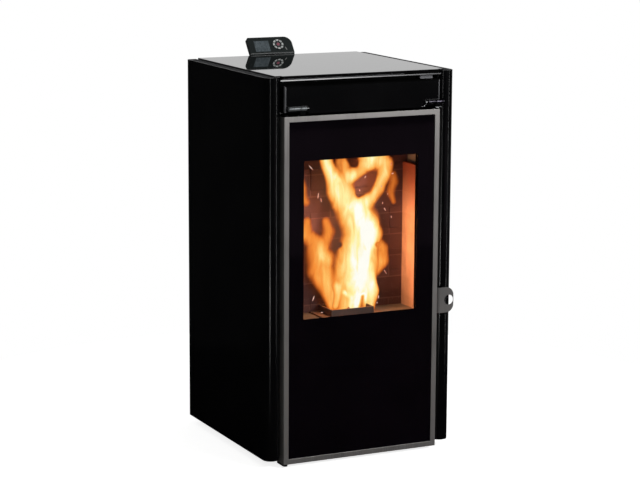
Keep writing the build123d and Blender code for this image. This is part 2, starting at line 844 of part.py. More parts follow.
throat_y1 = auger_low_y - throat_offset
throat_y0 = throat_y1 - throat_length
throat_mid = (throat_y0 + throat_y1) / 2
throat_z1 = axis_z(throat_y0) + auger_tube_radius / cos(radians(auger_slope)) + throat_rise


def hopper_body(wall):
    """Straight bin over a funnel that narrows to the auger's throat, less a wall all round."""
    with BuildPart() as body:
        with BuildSketch(Plane.XY.offset(hopper_funnel_z)):
            with Locations((0, hopper_mid)):
                Rectangle(2 * (hopper_half - wall), hopper_rear - hopper_front - 2 * wall)
        extrude(amount=deck_z1 + hopper_rim_rise - hopper_funnel_z)
        with BuildSketch(Plane.XY.offset(throat_z1)):
            with Locations((0, throat_mid)):
                Rectangle(throat_width - 2 * wall, throat_length - 2 * wall)
        with BuildSketch(Plane.XY.offset(hopper_funnel_z)):
            with Locations((0, hopper_mid)):
                Rectangle(2 * (hopper_half - wall), hopper_rear - hopper_front - 2 * wall)
        loft()
    return body.part


with BuildPart() as hopper:
    add(hopper_body(0))
    with BuildSketch(Plane.XY.offset(deck_z1)):
        with Locations((0, hopper_mid)):
            Rectangle(2 * (hopper_half + hopper_rim), hopper_rear - hopper_front + 2 * hopper_rim)
    extrude(amount=hopper_rim_rise)
    add(hopper_body(hopper_wall), mode=Mode.SUBTRACT)

auger_foot = Vector(0, auger_low_y, auger_low_z)
auger_plane = Plane(origin=auger_foot, x_dir=(1, 0, 0), z_dir=auger_axis)
tube_inner = auger_tube_radius - auger_tube_wall
chute_half = auger_tube_radius + chute_side


def chute_side_view(reach, wall):
    """Side of the chute, from the tube's slanted end down to the firebox."""
    rise = (reach * sin(radians(auger_slope)), reach * cos(radians(auger_slope)))
    with BuildLine() as outline:
        Polyline(
            (shell_y, port_z0 - wall),
            (auger_end_y - rise[0], auger_top_z - rise[1]),
            (auger_end_y + rise[0], auger_top_z + rise[1]),
            (shell_y, port_z1 + wall),
            close=True,
        )
    return outline


def throat_side_view(wall):
    """Side of the upright throat over the tube, down to the auger's axis."""
    ends = (throat_y0 + wall, throat_y1 - wall)
    with BuildLine() as outline:
        Polyline(
            (ends[0], axis_z(ends[0])),
            (ends[1], axis_z(ends[1])),
            (ends[1], throat_z1),
            (ends[0], throat_z1),
            close=True,
        )
    return outline


with BuildPart() as auger_tube:
    with BuildSketch(auger_plane):
        Circle(auger_tube_radius)
    extrude(amount=auger_length)
    with BuildSketch(sideways(-throat_width / 2)):
        make_face(throat_side_view(0).edges())
    extrude(amount=throat_width)
    with BuildSketch(sideways(-chute_half)):
        make_face(chute_side_view(auger_tube_radius, duct_wall).edges())
    extrude(amount=2 * chute_half)
    with BuildSketch(sideways(-chute_half + duct_wall)):
        make_face(chute_side_view(tube_inner, 0).edges())
    extrude(amount=2 * (chute_half - duct_wall), mode=Mode.SUBTRACT)
    with BuildSketch(sideways(-throat_width / 2 + throat_wall)):
        make_face(throat_side_view(throat_wall).edges())
    extrude(amount=throat_width - 2 * throat_wall, mode=Mode.SUBTRACT)
    with BuildSketch(auger_plane.offset(bearing_plate)):
        Circle(tube_inner)
    extrude(amount=auger_length - bearing_plate, mode=Mode.SUBTRACT)
    with BuildSketch(auger_plane):
        Circle(auger_shaft_radius + running_gap)
    extrude(amount=bearing_plate, mode=Mode.SUBTRACT)

blade_radius = tube_inner - auger_play
blade_start = bearing_plate + auger_play
blade_turns = int((auger_length - blade_start - auger_pitch / 2) / auger_pitch * 2) / 2
blade_length = blade_turns * auger_pitch

blade_origin = auger_plane.offset(blade_start).origin
blade_depth = blade_radius - auger_shaft_radius + auger_bite

with BuildPart() as auger_screw:
    with BuildSketch(auger_plane):
        Circle(auger_shaft_radius)
    extrude(amount=blade_start + blade_length)
    with BuildLine():
        edge = Helix(auger_pitch, blade_length, blade_radius, center=blade_origin, direction=auger_axis)
    with BuildSketch(Plane(edge @ 0, x_dir=(edge @ 0) - blade_origin, z_dir=edge % 0)):
        with Locations((-blade_depth / 2, 0)):
            Rectangle(blade_depth, auger_blade)
    sweep(path=edge, is_frenet=True)

with BuildPart() as auger_gearmotor:
    back_plane = Plane(origin=auger_foot, x_dir=(1, 0, 0), z_dir=-auger_axis)
    with BuildSketch(back_plane):
        RectangleRounded(gearbox_side, gearbox_side, gearbox_corner)
    extrude(amount=gearbox_length)
    with BuildSketch(back_plane.offset(gearbox_length)):
        Circle(motor_radius)
    extrude(amount=motor_length)


# ------------------------------------------------------------------ exhaust fan, flue and combustion air
drum_y = duct_y + fan_drum_gap + fan_drum_radius
outlet_radius = flue_radius - flue_wall - running_gap
outlet_length = fan_drum_radius + 2 * spigot_overlap


def drum(x0, x1, y, z, radius, mode=Mode.ADD):
    """Cylinder across the stove between two limits."""
    rod(x0, y, z, radius, x1 - x0, TO_RIGHT, mode)


with BuildPart() as exhaust_fan_housing:
    drum(drum_x0, drum_x1, drum_y, flue_z, fan_drum_radius)
    block(suction_x, (duct_y, drum_y + fan_eye_radius), suction_z)
    rod(flue_x, drum_y, flue_z, outlet_radius, outlet_length, TO_BACK)
    drum(drum_x0 + fan_wall, drum_x1 - fan_wall, drum_y, flue_z, fan_drum_radius - fan_wall, Mode.SUBTRACT)
    block(
        (suction_x[0] + fan_wall, suction_x[1]),
        (duct_y, drum_y + fan_eye_radius - fan_wall),
        (suction_z[0] + fan_wall, suction_z[1] - fan_wall),
        mode=Mode.SUBTRACT,
    )
    drum(drum_x0, drum_x0 + fan_wall, drum_y, flue_z, fan_eye_radius - fan_wall, Mode.SUBTRACT)
    rod(flue_x, drum_y, flue_z, outlet_radius - fan_wall, outlet_length, TO_BACK, Mode.SUBTRACT)
    drum(drum_x1 - fan_wall, drum_x1, drum_y, flue_z, fan_shaft_radius + running_gap, Mode.SUBTRACT)

motor_x0 = drum_x1 + fan_motor_standoff
with BuildPart() as exhaust_fan_motor:
    drum(motor_x0, motor_x0 + fan_motor_length, drum_y, flue_z, fan_motor_radius)
    fillet(exhaust_fan_motor.edges().filter_by(GeomType.CIRCLE).sort_by(Axis.X)[-1], radius=fan_motor_round)
    with BuildSketch(sideways(drum_x1)):
        with Locations((drum_y, flue_z)):
            with PolarLocations(fan_motor_radius - 2 * fan_stud_radius, 4, start_angle=45):
                Circle(fan_stud_radius)
    extrude(amount=fan_motor_standoff)
    drum(motor_x0, drum_x1 + fan_shaft_reach, drum_y, flue_z, fan_shaft_radius + running_gap, Mode.SUBTRACT)


def fan_wheel(x0, width, y, z, radius, eye, count, shaft_end):
    """Back plate at the right, straight blades between two rings, a hub and a shaft to the motor."""
    with BuildPart() as wheel:
        drum(x0 + width - fan_wall, x0 + width, y, z, radius)
        drum(x0, x0 + fan_wall, y, z, radius)
        drum(x0, x0 + fan_wall, y, z, eye, Mode.SUBTRACT)
        drum(x0 + width / 2, x0 + width, y, z, fan_hub_radius)
        drum(x0 + width / 2, shaft_end, y, z, fan_shaft_radius)
        with BuildSketch(sideways(x0)):
            with Locations((y, z)):
                with PolarLocations((eye + radius) / 2, count):
                    Rectangle(radius - eye - fan_wall, fan_wall)
        extrude(amount=width)
    return wheel


exhaust_fan_wheel = fan_wheel(
    drum_x1 - fan_wall - fan_wheel_gap - fan_wheel_width,
    fan_wheel_width,
    drum_y,
    flue_z,
    fan_wheel_radius,
    fan_eye_radius,
    fan_blades,
    drum_x1 + fan_shaft_reach,
)

spigot_y = drum_y + fan_drum_radius + spigot_overlap
spigot_length = rear_y + flue_reach - spigot_y
with BuildPart() as flue_spigot:
    rod(flue_x, spigot_y, flue_z, flue_radius, spigot_length, TO_BACK)
    rod(flue_x, rear_outer_y, flue_z, flange_radius, flange_sheet, TO_BACK)
    rod(flue_x, spigot_y, flue_z, flue_radius - flue_wall, spigot_length, TO_BACK, Mode.SUBTRACT)

with BuildPart() as air_inlet_pipe:
    pipe_length = rear_y + air_pipe_reach - shell_y
    rod(air_pipe_x, shell_y, air_pipe_z, air_pipe_radius, pipe_length, TO_BACK)
    rod(air_pipe_x, rear_outer_y, air_pipe_z, air_flange_radius, flange_sheet, TO_BACK)
    rod(air_pipe_x, shell_y, air_pipe_z, air_pipe_radius - duct_wall, pipe_length, TO_BACK, Mode.SUBTRACT)

# ------------------------------------------------------------------ room-air blower
blower_x0 = blower_x - blower_width / 2
blower_x1 = blower_x + blower_width / 2
with BuildPart() as blower_housing:
    drum(blower_x0, blower_x1, blower_y, blower_z, blower_radius)
    block((blower_x0, blower_x1), (duct_y, blower_y), blower_neck_z)
    hollow_x = (blower_x0 + fan_wall, blower_x1 - fan_wall)
    drum(*hollow_x, blower_y, blower_z, blower_radius - fan_wall, Mode.SUBTRACT)
    block(
        hollow_x,
        (duct_y, blower_y),
        (blower_neck_z[0] + fan_wall, blower_neck_z[1] - fan_wall),
        mode=Mode.SUBTRACT,
    )
    drum(blower_x0, blower_x0 + fan_wall, blower_y, blower_z, blower_eye_radius, Mode.SUBTRACT)
    motor_hole = blower_motor_radius + running_gap
    drum(blower_x1 - fan_wall, blower_x1, blower_y, blower_z, motor_hole, Mode.SUBTRACT)

blower_motor_x = blower_x1 - fan_wall - fan_motor_standoff
blower_shaft_end = blower_x1 + fan_shaft_reach / 2
with BuildPart() as blower_motor:
    drum(blower_motor_x, blower_motor_x + blower_motor_length, blower_y, blower_z, blower_motor_radius)
    drum(blower_x1, blower_x1 + fan_wall, blower_y, blower_z, blower_motor_radius + blower_motor_lip)
    drum(blower_motor_x, blower_shaft_end, blower_y, blower_z, fan_shaft_radius + running_gap, Mode.SUBTRACT)

blower_wheel = fan_wheel(
    blower_motor_x - fan_wheel_gap - blower_wheel_width,
    blower_wheel_width,
    blower_y,
    blower_z,
    blower_wheel_radius,
    blower_eye_radius,
    blower_blades,
    blower_shaft_end,
)

# ------------------------------------------------------------------ electrics
socket_z = module_z - module_height / 4
rocker_z = module_z + module_height / 4
rocker_y = rear_outer_y + module_bezel
with BuildPart() as power_inlet:
    body = [size - 2 * module_lap - 2 * running_gap for size in (module_width, module_height)]
    with BuildSketch(upright(rear_outer_y)):
        with Locations((module_x, module_z)):
            Rectangle(*body)
    extrude(amount=module_depth)
    with BuildSketch(upright(rocker_y)):
        with Locations((module_x, module_z)):
            RectangleRounded(module_width, module_height, module_corner)
    extrude(amount=module_bezel)
    with BuildSketch(upright(rocker_y)):
        with Locations((module_x, socket_z)):
            RectangleRounded(socket_width, socket_height, module_corner)
    extrude(amount=socket_depth, mode=Mode.SUBTRACT)
    with BuildSketch(upright(rocker_y)):
        with Locations((module_x, rocker_z)):
            Rectangle(rocker_width + 2 * rocker_gap, rocker_length + 2 * rocker_gap)
    extrude(amount=socket_depth, mode=Mode.SUBTRACT)
    pins = [
        (module_x, socket_z + socket_pin_rise),
        (module_x - socket_pin_pitch, socket_z),
        (module_x + socket_pin_pitch, socket_z),
    ]
    with BuildSketch(upright(rocker_y - socket_pin_setback)):
        with Locations(pins):
            Rectangle(socket_pin_width, socket_pin_height)
    extrude(amount=socket_depth - socket_pin_setback)

half_throw = radians(rocker_throw / 2)
rocker_reach = rocker_length / 2 - rocker_gap - rocker_depth * sin(half_throw)
rocker_plane = Plane(
    origin=(module_x - rocker_width / 2, rocker_y - rocker_depth, rocker_z),
    x_dir=(0, cos(half_throw), sin(half_throw)),
    z_dir=TO_RIGHT,
)
with BuildPart() as power_rocker:
    with BuildSketch(rocker_plane):
        with BuildLine():
            Polyline(
                (0, -rocker_reach / 2),
                (rocker_depth, -rocker_reach),
                (rocker_depth - rocker_dish, 0),
                (rocker_depth, rocker_reach),
                (0, rocker_reach / 2),
                close=True,
            )
        make_face()
    extrude(amount=rocker_width)
    with BuildSketch(rocker_plane):
        Circle(rocker_axle)
    extrude(amount=rocker_width)

box_x0 = -frame_half + frame_sheet
box_x1 = box_x0 + board_box_width
box_y1 = rear_inner_y - frame_sheet
box_mid = (box_y1 - board_box_depth / 2, board_box_low_z + board_box_height / 2)
with BuildPart() as control_board_box:
    block(
        (box_x0, box_x1),
        (box_y1 - board_box_depth, box_y1),
        (board_box_low_z, board_box_low_z + board_box_height),
    )
    with BuildSketch(sideways(box_x1)):
        with Locations(box_mid):
            with GridLocations(0, board_vent_pitch, 1, board_vent_count):
                SlotOverall(board_box_depth - 2 * board_vent_margin, board_vent_height)
    extrude(amount=-board_vent_depth, mode=Mode.SUBTRACT)

# ------------------------------------------------------------------ lid
lid_half = half_width - band - case_gap
tongue_half = recess - case_gap / 2
lid_axis_y = lid_rear_y - lid_hinge_inset
lid_axis_z = lid_z1 - lid_hinge_drop
lid_knuckle_y = (lid_axis_y - lid_knuckle_radius, lid_axis_y + lid_knuckle_radius)


def lid_plan(inset=0.0, mode=Mode.ADD):
    """Plan of the lid: full width between the side bands and a tongue between the column heads."""
    step = lid_front_y + lid_notch + inset
    tongue = tongue_half - inset
    rectangle((-lid_half + inset, lid_half - inset), (step, lid_rear_y - inset), mode=mode)
    rectangle((-tongue, tongue), (lid_front_y + inset, step), mode=mode)


with BuildPart() as lid_glass:
    with BuildSketch(Plane.XY.offset(lid_glass_z)):
        lid_plan()
    extrude(amount=lid_glass_thickness)
    chamfer(lid_glass.faces().sort_by(Axis.Z)[-1].outer_wire().edges(), length=lid_glass_chamfer)

with BuildPart() as lid_tray:
    with BuildSketch(Plane.XY.offset(lid_tray_z)):
        lid_plan(lid_glass_lap)
    extrude(amount=lid_sheet)
    with BuildSketch(Plane.XY.offset(lid_lip_z)):
        lid_plan(lid_glass_lap)
        lid_plan(lid_glass_lap + lid_sheet, mode=Mode.SUBTRACT)
        rear_cut = (lid_axis_y - 2 * lid_knuckle_radius, lid_rear_y)
        rectangle((-lid_half, lid_half), rear_cut, mode=Mode.SUBTRACT)
    extrude(amount=lid_tray_z - lid_lip_z)
    for x in (-lid_hinge_spacing / 2, lid_hinge_spacing / 2):
        ear = (x - lid_ear_width / 2, x + lid_ear_width / 2)
        drum(*ear, lid_axis_y, lid_axis_z, lid_knuckle_radius)
        block(ear, lid_knuckle_y, (lid_axis_z, lid_tray_z))
        drum(*ear, lid_axis_y, lid_axis_z, lid_pin_radius + running_gap, Mode.SUBTRACT)

with BuildPart() as lid_hinges:
    for x in (-lid_hinge_spacing / 2, lid_hinge_spacing / 2):
        span = (x - lid_hinge_width / 2, x + lid_hinge_width / 2)
        block(span, lid_knuckle_y, (deck_z1, lid_axis_z))
        drum(*span, lid_axis_y, lid_axis_z, lid_knuckle_radius)
        slot = (x - lid_ear_width / 2 - lid_ear_gap, x + lid_ear_width / 2 + lid_ear_gap)
        block(slot, lid_knuckle_y, (deck_z1, lid_z1), mode=Mode.SUBTRACT)
        drum(*span, lid_axis_y, lid_axis_z, lid_pin_radius)

# ------------------------------------------------------------------ door
door_z0 = door_floor_gap
door_z1 = door_top_z
door_height = door_z1 - door_z0
hinge_x = -door_half + hinge_inset
hinge_y = door_y + hinge_inset
tray_inner = door_half - door_sheet
inside_z = (door_z0 + door_sheet, door_z1 - door_sheet)

with BuildPart() as door_tray:
    with BuildSketch(upright(door_back_y)):
        rectangle((-door_half, door_half), (door_z0, door_z1))
    extrude(amount=door_depth)
    inside_y = (door_y + door_sheet, door_back_y - door_sheet)
    block((-tray_inner, tray_inner), inside_y, inside_z, mode=Mode.SUBTRACT)
    with BuildSketch(upright(door_y + door_sheet)):
        strip = door_half - door_strip
        rectangle((-strip, strip), (door_z0 + door_strip, door_z1 - door_strip))
    extrude(amount=door_sheet, mode=Mode.SUBTRACT)
    with BuildSketch(upright(door_back_y)):
        lip = door_half - door_strip
        rectangle((-lip, lip), (door_z0 + door_strip, door_z1 - door_strip))
    extrude(amount=door_sheet, mode=Mode.SUBTRACT)
    boss_x = (-tray_inner, hinge_x + hinge_inset)
    for z in (inside_z[0], inside_z[1] - hinge_boss):
        block(boss_x, (inside_y[0], hinge_y + hinge_inset), (z, z + hinge_boss))
    rod(hinge_x, hinge_y, door_z0, hinge_pin_radius + running_gap, door_height, UP, Mode.SUBTRACT)

glass_x = door_half - door_strip + glass_lap
glass_z = (door_z0 + door_strip - glass_lap, door_z1 - door_strip + glass_lap)
glass_y0 = door_y + door_sheet
glass_y1 = glass_y0 + door_glass_thickness
with BuildPart() as door_glass:
    block((-glass_x, glass_x), (glass_y0, glass_y1), glass_z)

channel_y = frame_y0 - seal_gap - seal_depth
seal_half = fire_opening_side + case_gap + seal_width
seal_z = (ash_opening_low - case_gap - seal_width, fire_opening_top + case_gap + seal_width)


def ring(reach, width):
    """Sketch ring, reach outside the sealed outline and width wide."""
    x = seal_half + reach
    z = (seal_z[0] - reach, seal_z[1] + reach)
    rectangle((-x, x), z)
    rectangle((-x + width, x - width), (z[0] + width, z[1] - width), mode=Mode.SUBTRACT)


with BuildPart() as door_liner:
    with BuildSketch(upright(glass_y1 + liner_sheet)):
        liner_x = glass_x - liner_gap
        rectangle((-liner_x, liner_x), (glass_z[0] + liner_gap, glass_z[1] - liner_gap))
        window = (window_x - window_width / 2 - window_lap, window_x + window_width / 2 + window_lap)
        rectangle(window, (window_low_z - window_lap, window_high_z + window_lap), mode=Mode.SUBTRACT)
    extrude(amount=liner_sheet)
    with BuildSketch(upright(channel_y)):
        ring(channel_sheet, seal_width + 2 * channel_sheet)
    extrude(amount=channel_y - glass_y1 - liner_sheet)
    with BuildSketch(upright(channel_y - channel_sheet)):
        ring(0, seal_width)
    extrude(amount=channel_y - channel_sheet - glass_y1 - liner_sheet, mode=Mode.SUBTRACT)

with BuildPart() as door_seal:
    with BuildSketch(upright(channel_y + seal_depth)):
        ring(0, seal_width)
    extrude(amount=seal_depth)
    rear_edges = door_seal.faces().sort_by(Axis.Y)[-1].edges()
    fillet(rear_edges, radius=seal_round)

clip_y = glass_y1 + liner_sheet
clip_step = (door_height - 2 * clip_end) / (clip_count - 1)
clip_heights = [door_z0 + clip_end + i * clip_step for i in range(clip_count)]
with BuildPart() as glass_clips:
    for side in (-1, 1):
        for z in clip_heights:
            span = (z - clip_length / 2, z + clip_length / 2)
            tongue = sorted((side * (glass_x - liner_gap - clip_lap), side * tray_inner))
            block(tongue, (clip_y, clip_y + clip_sheet), span)
            leg = sorted((side * (tray_inner - clip_sheet), side * tray_inner))
            block(leg, (clip_y, clip_y + clip_leg), span)

handle_x0 = door_half
handle_x1 = half_width
tab_y1 = door_y - handle_stand
tab_y0 = tab_y1 - handle_sheet
with BuildPart() as door_handle:
    with BuildSketch(Plane.XY.offset(handle_z - handle_height / 2)):
        with BuildLine():
            mid = handle_x0 + handle_sheet / 2
            FilletPolyline(
                (mid, door_y + handle_leg),
                (mid, (tab_y0 + tab_y1) / 2),
                (handle_x1, (tab_y0 + tab_y1) / 2),
                radius=handle_bend - handle_sheet / 2,
            )
        trace(line_width=handle_sheet)
    extrude(amount=handle_height)
    outer_corners = door_handle.edges().filter_by(Axis.Y).group_by(Axis.X)[-1]
    fillet(outer_corners, radius=handle_corner)
    rod(finger_hole_x, tab_y0, handle_z, finger_hole / 2, handle_sheet, TO_BACK, Mode.SUBTRACT)

bracket_x = (hinge_x - hinge_inset, hinge_x + hinge_inset)
with BuildPart() as door_hinges:
    low = door_z1 + door_sheet / 2
    pin_low = inside_z[1] - hinge_boss
    block(bracket_x, (hinge_y, frame_y0), (low, low + hinge_plate))
    rod(hinge_x, hinge_y, low, hinge_inset, hinge_plate, UP)
    rod(hinge_x, hinge_y, pin_low, hinge_pin_radius, low + hinge_plate - pin_low, UP)
    block(bracket_x, (frame_y0 - door_sheet, frame_y0), (low, low + hinge_tab))
    high = door_z0 - door_sheet / 2
    pin_high = inside_z[0] + hinge_boss
    block(bracket_x, (hinge_y, frame_y0), (high - hinge_plate, high))
    rod(hinge_x, hinge_y, high - hinge_plate, hinge_inset, hinge_plate + hinge_washer, UP)
    rod(hinge_x, hinge_y, high, hinge_pin_radius, pin_high - high, UP)
    block(bracket_x, (frame_y0 - door_sheet, frame_y0), (high - hinge_plate, base_z1 + 2 * hinge_tab))

magnet_x = door_half - door_sheet
with BuildPart() as door_magnets:
    for z in (magnet_low_z, magnet_high_z):
        span = (z, z + magnet_length)
        block((magnet_x - magnet_width, magnet_x), (door_back_y + magnet_gap, frame_y0), span)

# ------------------------------------------------------------------ upper front panel and its hinges
flap_axis_y = door_y - barrel_proud
flap_axis_z = flap_z0 + barrel_rise
hinge_ball_room = flap_pin_neck + 2 * flap_pin_head
barrel_splits = [barrel_middle_x + side * barrel_spacing / 2 for side in (-1, 1)]
leaf_z = flap_axis_z - barrel_radius

with BuildPart() as flap_panel:
    block((-flap_half, flap_half), (door_y, door_y + flap_fold), (flap_z0, flap_z1))
    fillet(flap_panel.edges().filter_by(Axis.X).group_by(Axis.Y)[0], radius=flap_round)
    block(
        (-flap_half + flap_sheet, flap_half - flap_sheet),
        (door_y + flap_sheet, door_y + flap_fold),
        (flap_z0 + flap_sheet, flap_z1 - flap_sheet),
        mode=Mode.SUBTRACT,
    )
    notch_left = barrel_splits[0] + barrel_length + flap_notch_play
    notch_right = barrel_splits[1] - barrel_length - hinge_ball_room - flap_notch_play
    for notch in ((-flap_half, notch_left), (notch_right, flap_half)):
        depth = (door_y, door_y + flap_fold)
        block(notch, depth, (flap_z0, flap_z0 + flap_notch), mode=Mode.SUBTRACT)
    for split in barrel_splits:
        barrel = (split - barrel_length, split - barrel_split / 2)
        drum(*barrel, flap_axis_y, flap_axis_z, barrel_radius)
        block(barrel, (flap_axis_y, door_y + flap_sheet), (leaf_z, leaf_z + flap_leaf))
        drum(*barrel, flap_axis_y, flap_axis_z, flap_pin_radius + running_gap, Mode.SUBTRACT)

leg_z0 = (door_top_z + flap_z0 + flap_notch - barrel_leg_sheet) / 2
with BuildPart() as flap_hinges:
    for split in barrel_splits:
        barrel = (split + barrel_split / 2, split + barrel_length)
        drum(*barrel, flap_axis_y, flap_axis_z, barrel_radius)
        leg = (barrel[0], barrel[0] + barrel_leg)
        block(leg, (flap_axis_y, flap_axis_y + barrel_leg_sheet), (leg_z0, flap_axis_z))
        block(leg, (flap_axis_y, frame_y0), (leg_z0, leg_z0 + barrel_leg_sheet))
        head_x = split - barrel_length - hinge_ball_room + flap_pin_head
        drum(head_x, barrel[1], flap_axis_y, flap_axis_z, flap_pin_radius)
        with Locations(Plane(origin=(head_x, flap_axis_y, flap_axis_z), z_dir=TO_RIGHT)):
            Sphere(flap_pin_head)

with BuildPart() as lid_catch:
    span = (catch_x - catch_width / 2, catch_x + catch_width / 2)
    block(span, (fire_y - catch_reach, fire_y), (deck_z0, deck_z0 + catch_sheet))
    catch_z1 = deck_z1 + catch_lift
    catch_y0 = fire_y - catch_reach
    block(span, (catch_y0, catch_y0 + catch_sheet), (catch_z1 - catch_height, catch_z1))

# ------------------------------------------------------------------ control display
display_z = lid_z1 + display_rise
tilt = radians(display_lean)
face_up = Vector(0, sin(tilt), cos(tilt))
face_out = Vector(0, -cos(tilt), sin(tilt))
end_radius = display_thickness / 2
axis_point = Vector(0, display_y, display_z)
face_origin = axis_point + face_out * end_radius - face_up * end_radius + Vector(display_x, 0, 0)
face_plane = Plane(origin=face_origin, x_dir=(1, 0, 0), z_dir=face_out)

slot_half = display_bracket_width / 2 + key_gap
pin_half = display_width / 2 - 2 * display_skin
pin_span = (display_x - pin_half, display_x + pin_half)

with BuildPart() as display_housing:
    with BuildSketch(face_plane):
        with Locations((0, display_height / 2)):
            Rectangle(display_width, display_height)
    extrude(amount=-display_thickness)
    thin = display_housing.edges().filter_by(lambda e: abs((e % 0.5).dot(face_out)) > 0.99)
    top_middle = face_origin + face_up * display_height
    top_edges = thin.sort_by(lambda e: ((e @ 0.5) - top_middle).dot(face_up))[-2:].sort_by(Axis.X)
    fillet(top_edges[-1], radius=display_corner)
    fillet(top_edges[0], radius=display_small_corner)
    long_edges = display_housing.edges().filter_by(Axis.X)
    low_edges = long_edges.filter_by(lambda e: abs((e @ 0.5 - face_origin).dot(face_up)) < 1)
    fillet(low_edges, radius=end_radius * round_share)
    with BuildSketch(face_plane):
        with Locations((keypad_x, keypad_rise)):
            Circle(keypad_radius + key_gap)
    extrude(amount=-key_well, mode=Mode.SUBTRACT)
    with BuildSketch(face_plane):
        with Locations((screen_x, screen_rise)):
            Rectangle(screen_width, screen_height)
    extrude(amount=-screen_thickness, mode=Mode.SUBTRACT)
    with BuildSketch(face_plane.offset(-display_skin)):
        rectangle((-slot_half, slot_half), (-end_radius, display_slot))
    extrude(amount=-display_thickness, mode=Mode.SUBTRACT)
    drum(*pin_span, display_y, display_z, display_pin_radius + running_gap, Mode.SUBTRACT)

with BuildPart() as display_screen:
    with BuildSketch(face_plane.offset(-screen_thickness)):
        with Locations((screen_x, screen_rise)):
            Rectangle(screen_width, screen_height)
    extrude(amount=screen_thickness)

with BuildPart() as display_bracket:
    span = (display_x - display_bracket_width / 2, display_x + display_bracket_width / 2)
    stem_y = (display_y - display_stem / 2, display_y + display_stem / 2)
    plate_y = (rear_outer_y, rear_outer_y + display_bracket_sheet)
    shelf_z = (rear_top_z - display_bracket_sheet, rear_top_z)
    block(span, plate_y, (rear_top_z - display_bracket_drop, rear_top_z))
    block(span, (rear_outer_y, stem_y[1]), shelf_z)
    block(span, stem_y, (shelf_z[0], display_z))
    drum(*span, display_y, display_z, display_barrel_radius)
    drum(pin_span[0] + key_gap, pin_span[1] - key_gap, display_y, display_z, display_pin_radius)

key_plane = face_plane.offset(key_proud)


def ring_key(i):
    """One quarter of the round keypad, with a straight gap to each neighbour."""
    middle = i * 360 / key_count
    centre = (keypad_x, keypad_rise)
    radii = (keypad_radius, key_inner_radius)
    spread = [180 / key_count - degrees(asin(key_gap / 2 / radius)) for radius in radii]
    with BuildPart() as key:
        with BuildSketch(key_plane):
            with BuildLine():
                outer = CenterArc(centre, keypad_radius, middle - spread[0], 2 * spread[0])
                inside = CenterArc(centre, key_inner_radius, middle - spread[1], 2 * spread[1])
                Line(outer @ 0, inside @ 0)
                Line(outer @ 1, inside @ 1)
            make_face()
        extrude(amount=-key_thickness)
    return key


key_right, key_up, key_left, key_down = [ring_key(i) for i in range(key_count)]

with BuildPart() as key_power:
    with BuildSketch(key_plane):
        with Locations((keypad_x, keypad_rise)):
            Circle(key_inner_radius - key_gap)
    extrude(amount=-key_thickness)
    fillet(key_power.faces().sort_by_distance(key_plane.origin)[0].edges(), radius=key_gap)

# ------------------------------------------------------------------ write every piece
pieces = {
    "side_panel_left": side_panel_left,
    "side_panel_right": side_panel_right,
    "base_plate": base_plate,
    "top_deck": top_deck,
    "face_frame": face_frame,
    "rear_frame": rear_frame,
    "rear_panel": rear_panel,
    "case_screws": case_screws,
    "firebox_shell": firebox_shell,
    "back_lining": back_lining,
    "side_lining_left": side_lining_left,
    "side_lining_right": side_lining_right,
    "baffle_plate": baffle_plate,
    "burn_pot": burn_pot,
    "ash_pan": ash_pan,
    "igniter": igniter,
    "heat_exchanger_tubes": heat_exchanger_tubes,
    "air_duct": air_duct,
    "smoke_duct": smoke_duct,
    "hopper": hopper,
    "auger_tube": auger_tube,
    "auger_screw": auger_screw,
    "auger_gearmotor": auger_gearmotor,
    "exhaust_fan_housing": exhaust_fan_housing,
    "exhaust_fan_motor": exhaust_fan_motor,
    "exhaust_fan_wheel": exhaust_fan_wheel,
    "flue_spigot": flue_spigot,
    "air_inlet_pipe": air_inlet_pipe,
    "blower_housing": blower_housing,
    "blower_motor": blower_motor,
    "blower_wheel": blower_wheel,
    "control_board_box": control_board_box,
    "power_inlet": power_inlet,
    "power_rocker": power_rocker,
    "lid_glass": lid_glass,
    "lid_tray": lid_tray,
    "lid_hinges": lid_hinges,
    "lid_catch": lid_catch,
    "door_tray": door_tray,
    "door_glass": door_glass,
    "door_liner": door_liner,
    "door_seal": door_seal,
    "glass_clips": glass_clips,
    "door_handle": door_handle,
    "door_hinges": door_hinges,
    "door_magnets": door_magnets,
    "flap_panel": flap_panel,
    "flap_hinges": flap_hinges,
    "display_housing": display_housing,
    "display_screen": display_screen,
    "display_bracket": display_bracket,
    "key_right": key_right,
    "key_up": key_up,
    "key_left": key_left,
    "key_down": key_down,
    "key_power": key_power,
}
pieces.update(feet)
for name, piece in pieces.items():
    finish(piece, name)
print(len(pieces), "pieces")
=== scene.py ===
"""Dresses a pellet stove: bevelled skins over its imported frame, finishes, a fire and a small studio.

Metres, in the frame's own axes: the door faces -Y, +Z is up and the floor is at zero.
"""

import math
from functools import partial

import bmesh
import bpy
import numpy as np
from bmesh.types import BMEdge, BMFace, BMVert
from bpy.props import FloatProperty, FloatVectorProperty, IntProperty, PointerProperty
from mathutils import Matrix, Vector


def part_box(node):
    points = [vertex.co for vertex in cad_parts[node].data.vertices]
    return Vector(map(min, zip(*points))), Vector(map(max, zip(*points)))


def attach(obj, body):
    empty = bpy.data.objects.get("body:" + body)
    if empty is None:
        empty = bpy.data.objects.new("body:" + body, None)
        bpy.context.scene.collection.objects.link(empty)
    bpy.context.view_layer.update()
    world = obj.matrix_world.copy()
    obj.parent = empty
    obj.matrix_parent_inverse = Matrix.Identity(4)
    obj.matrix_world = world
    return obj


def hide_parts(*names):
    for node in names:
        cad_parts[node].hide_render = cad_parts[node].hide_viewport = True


bl_info = {
    "name": "Pellet Stove Dressing",
    "version": (1, 0, 0),
    "blender": (4, 5, 0),
    "location": "3D View > Sidebar > Stove",
    "description": "Skins, finishes, fire and studio for a pellet stove with a full-height glass door",
    "category": "Object",
}

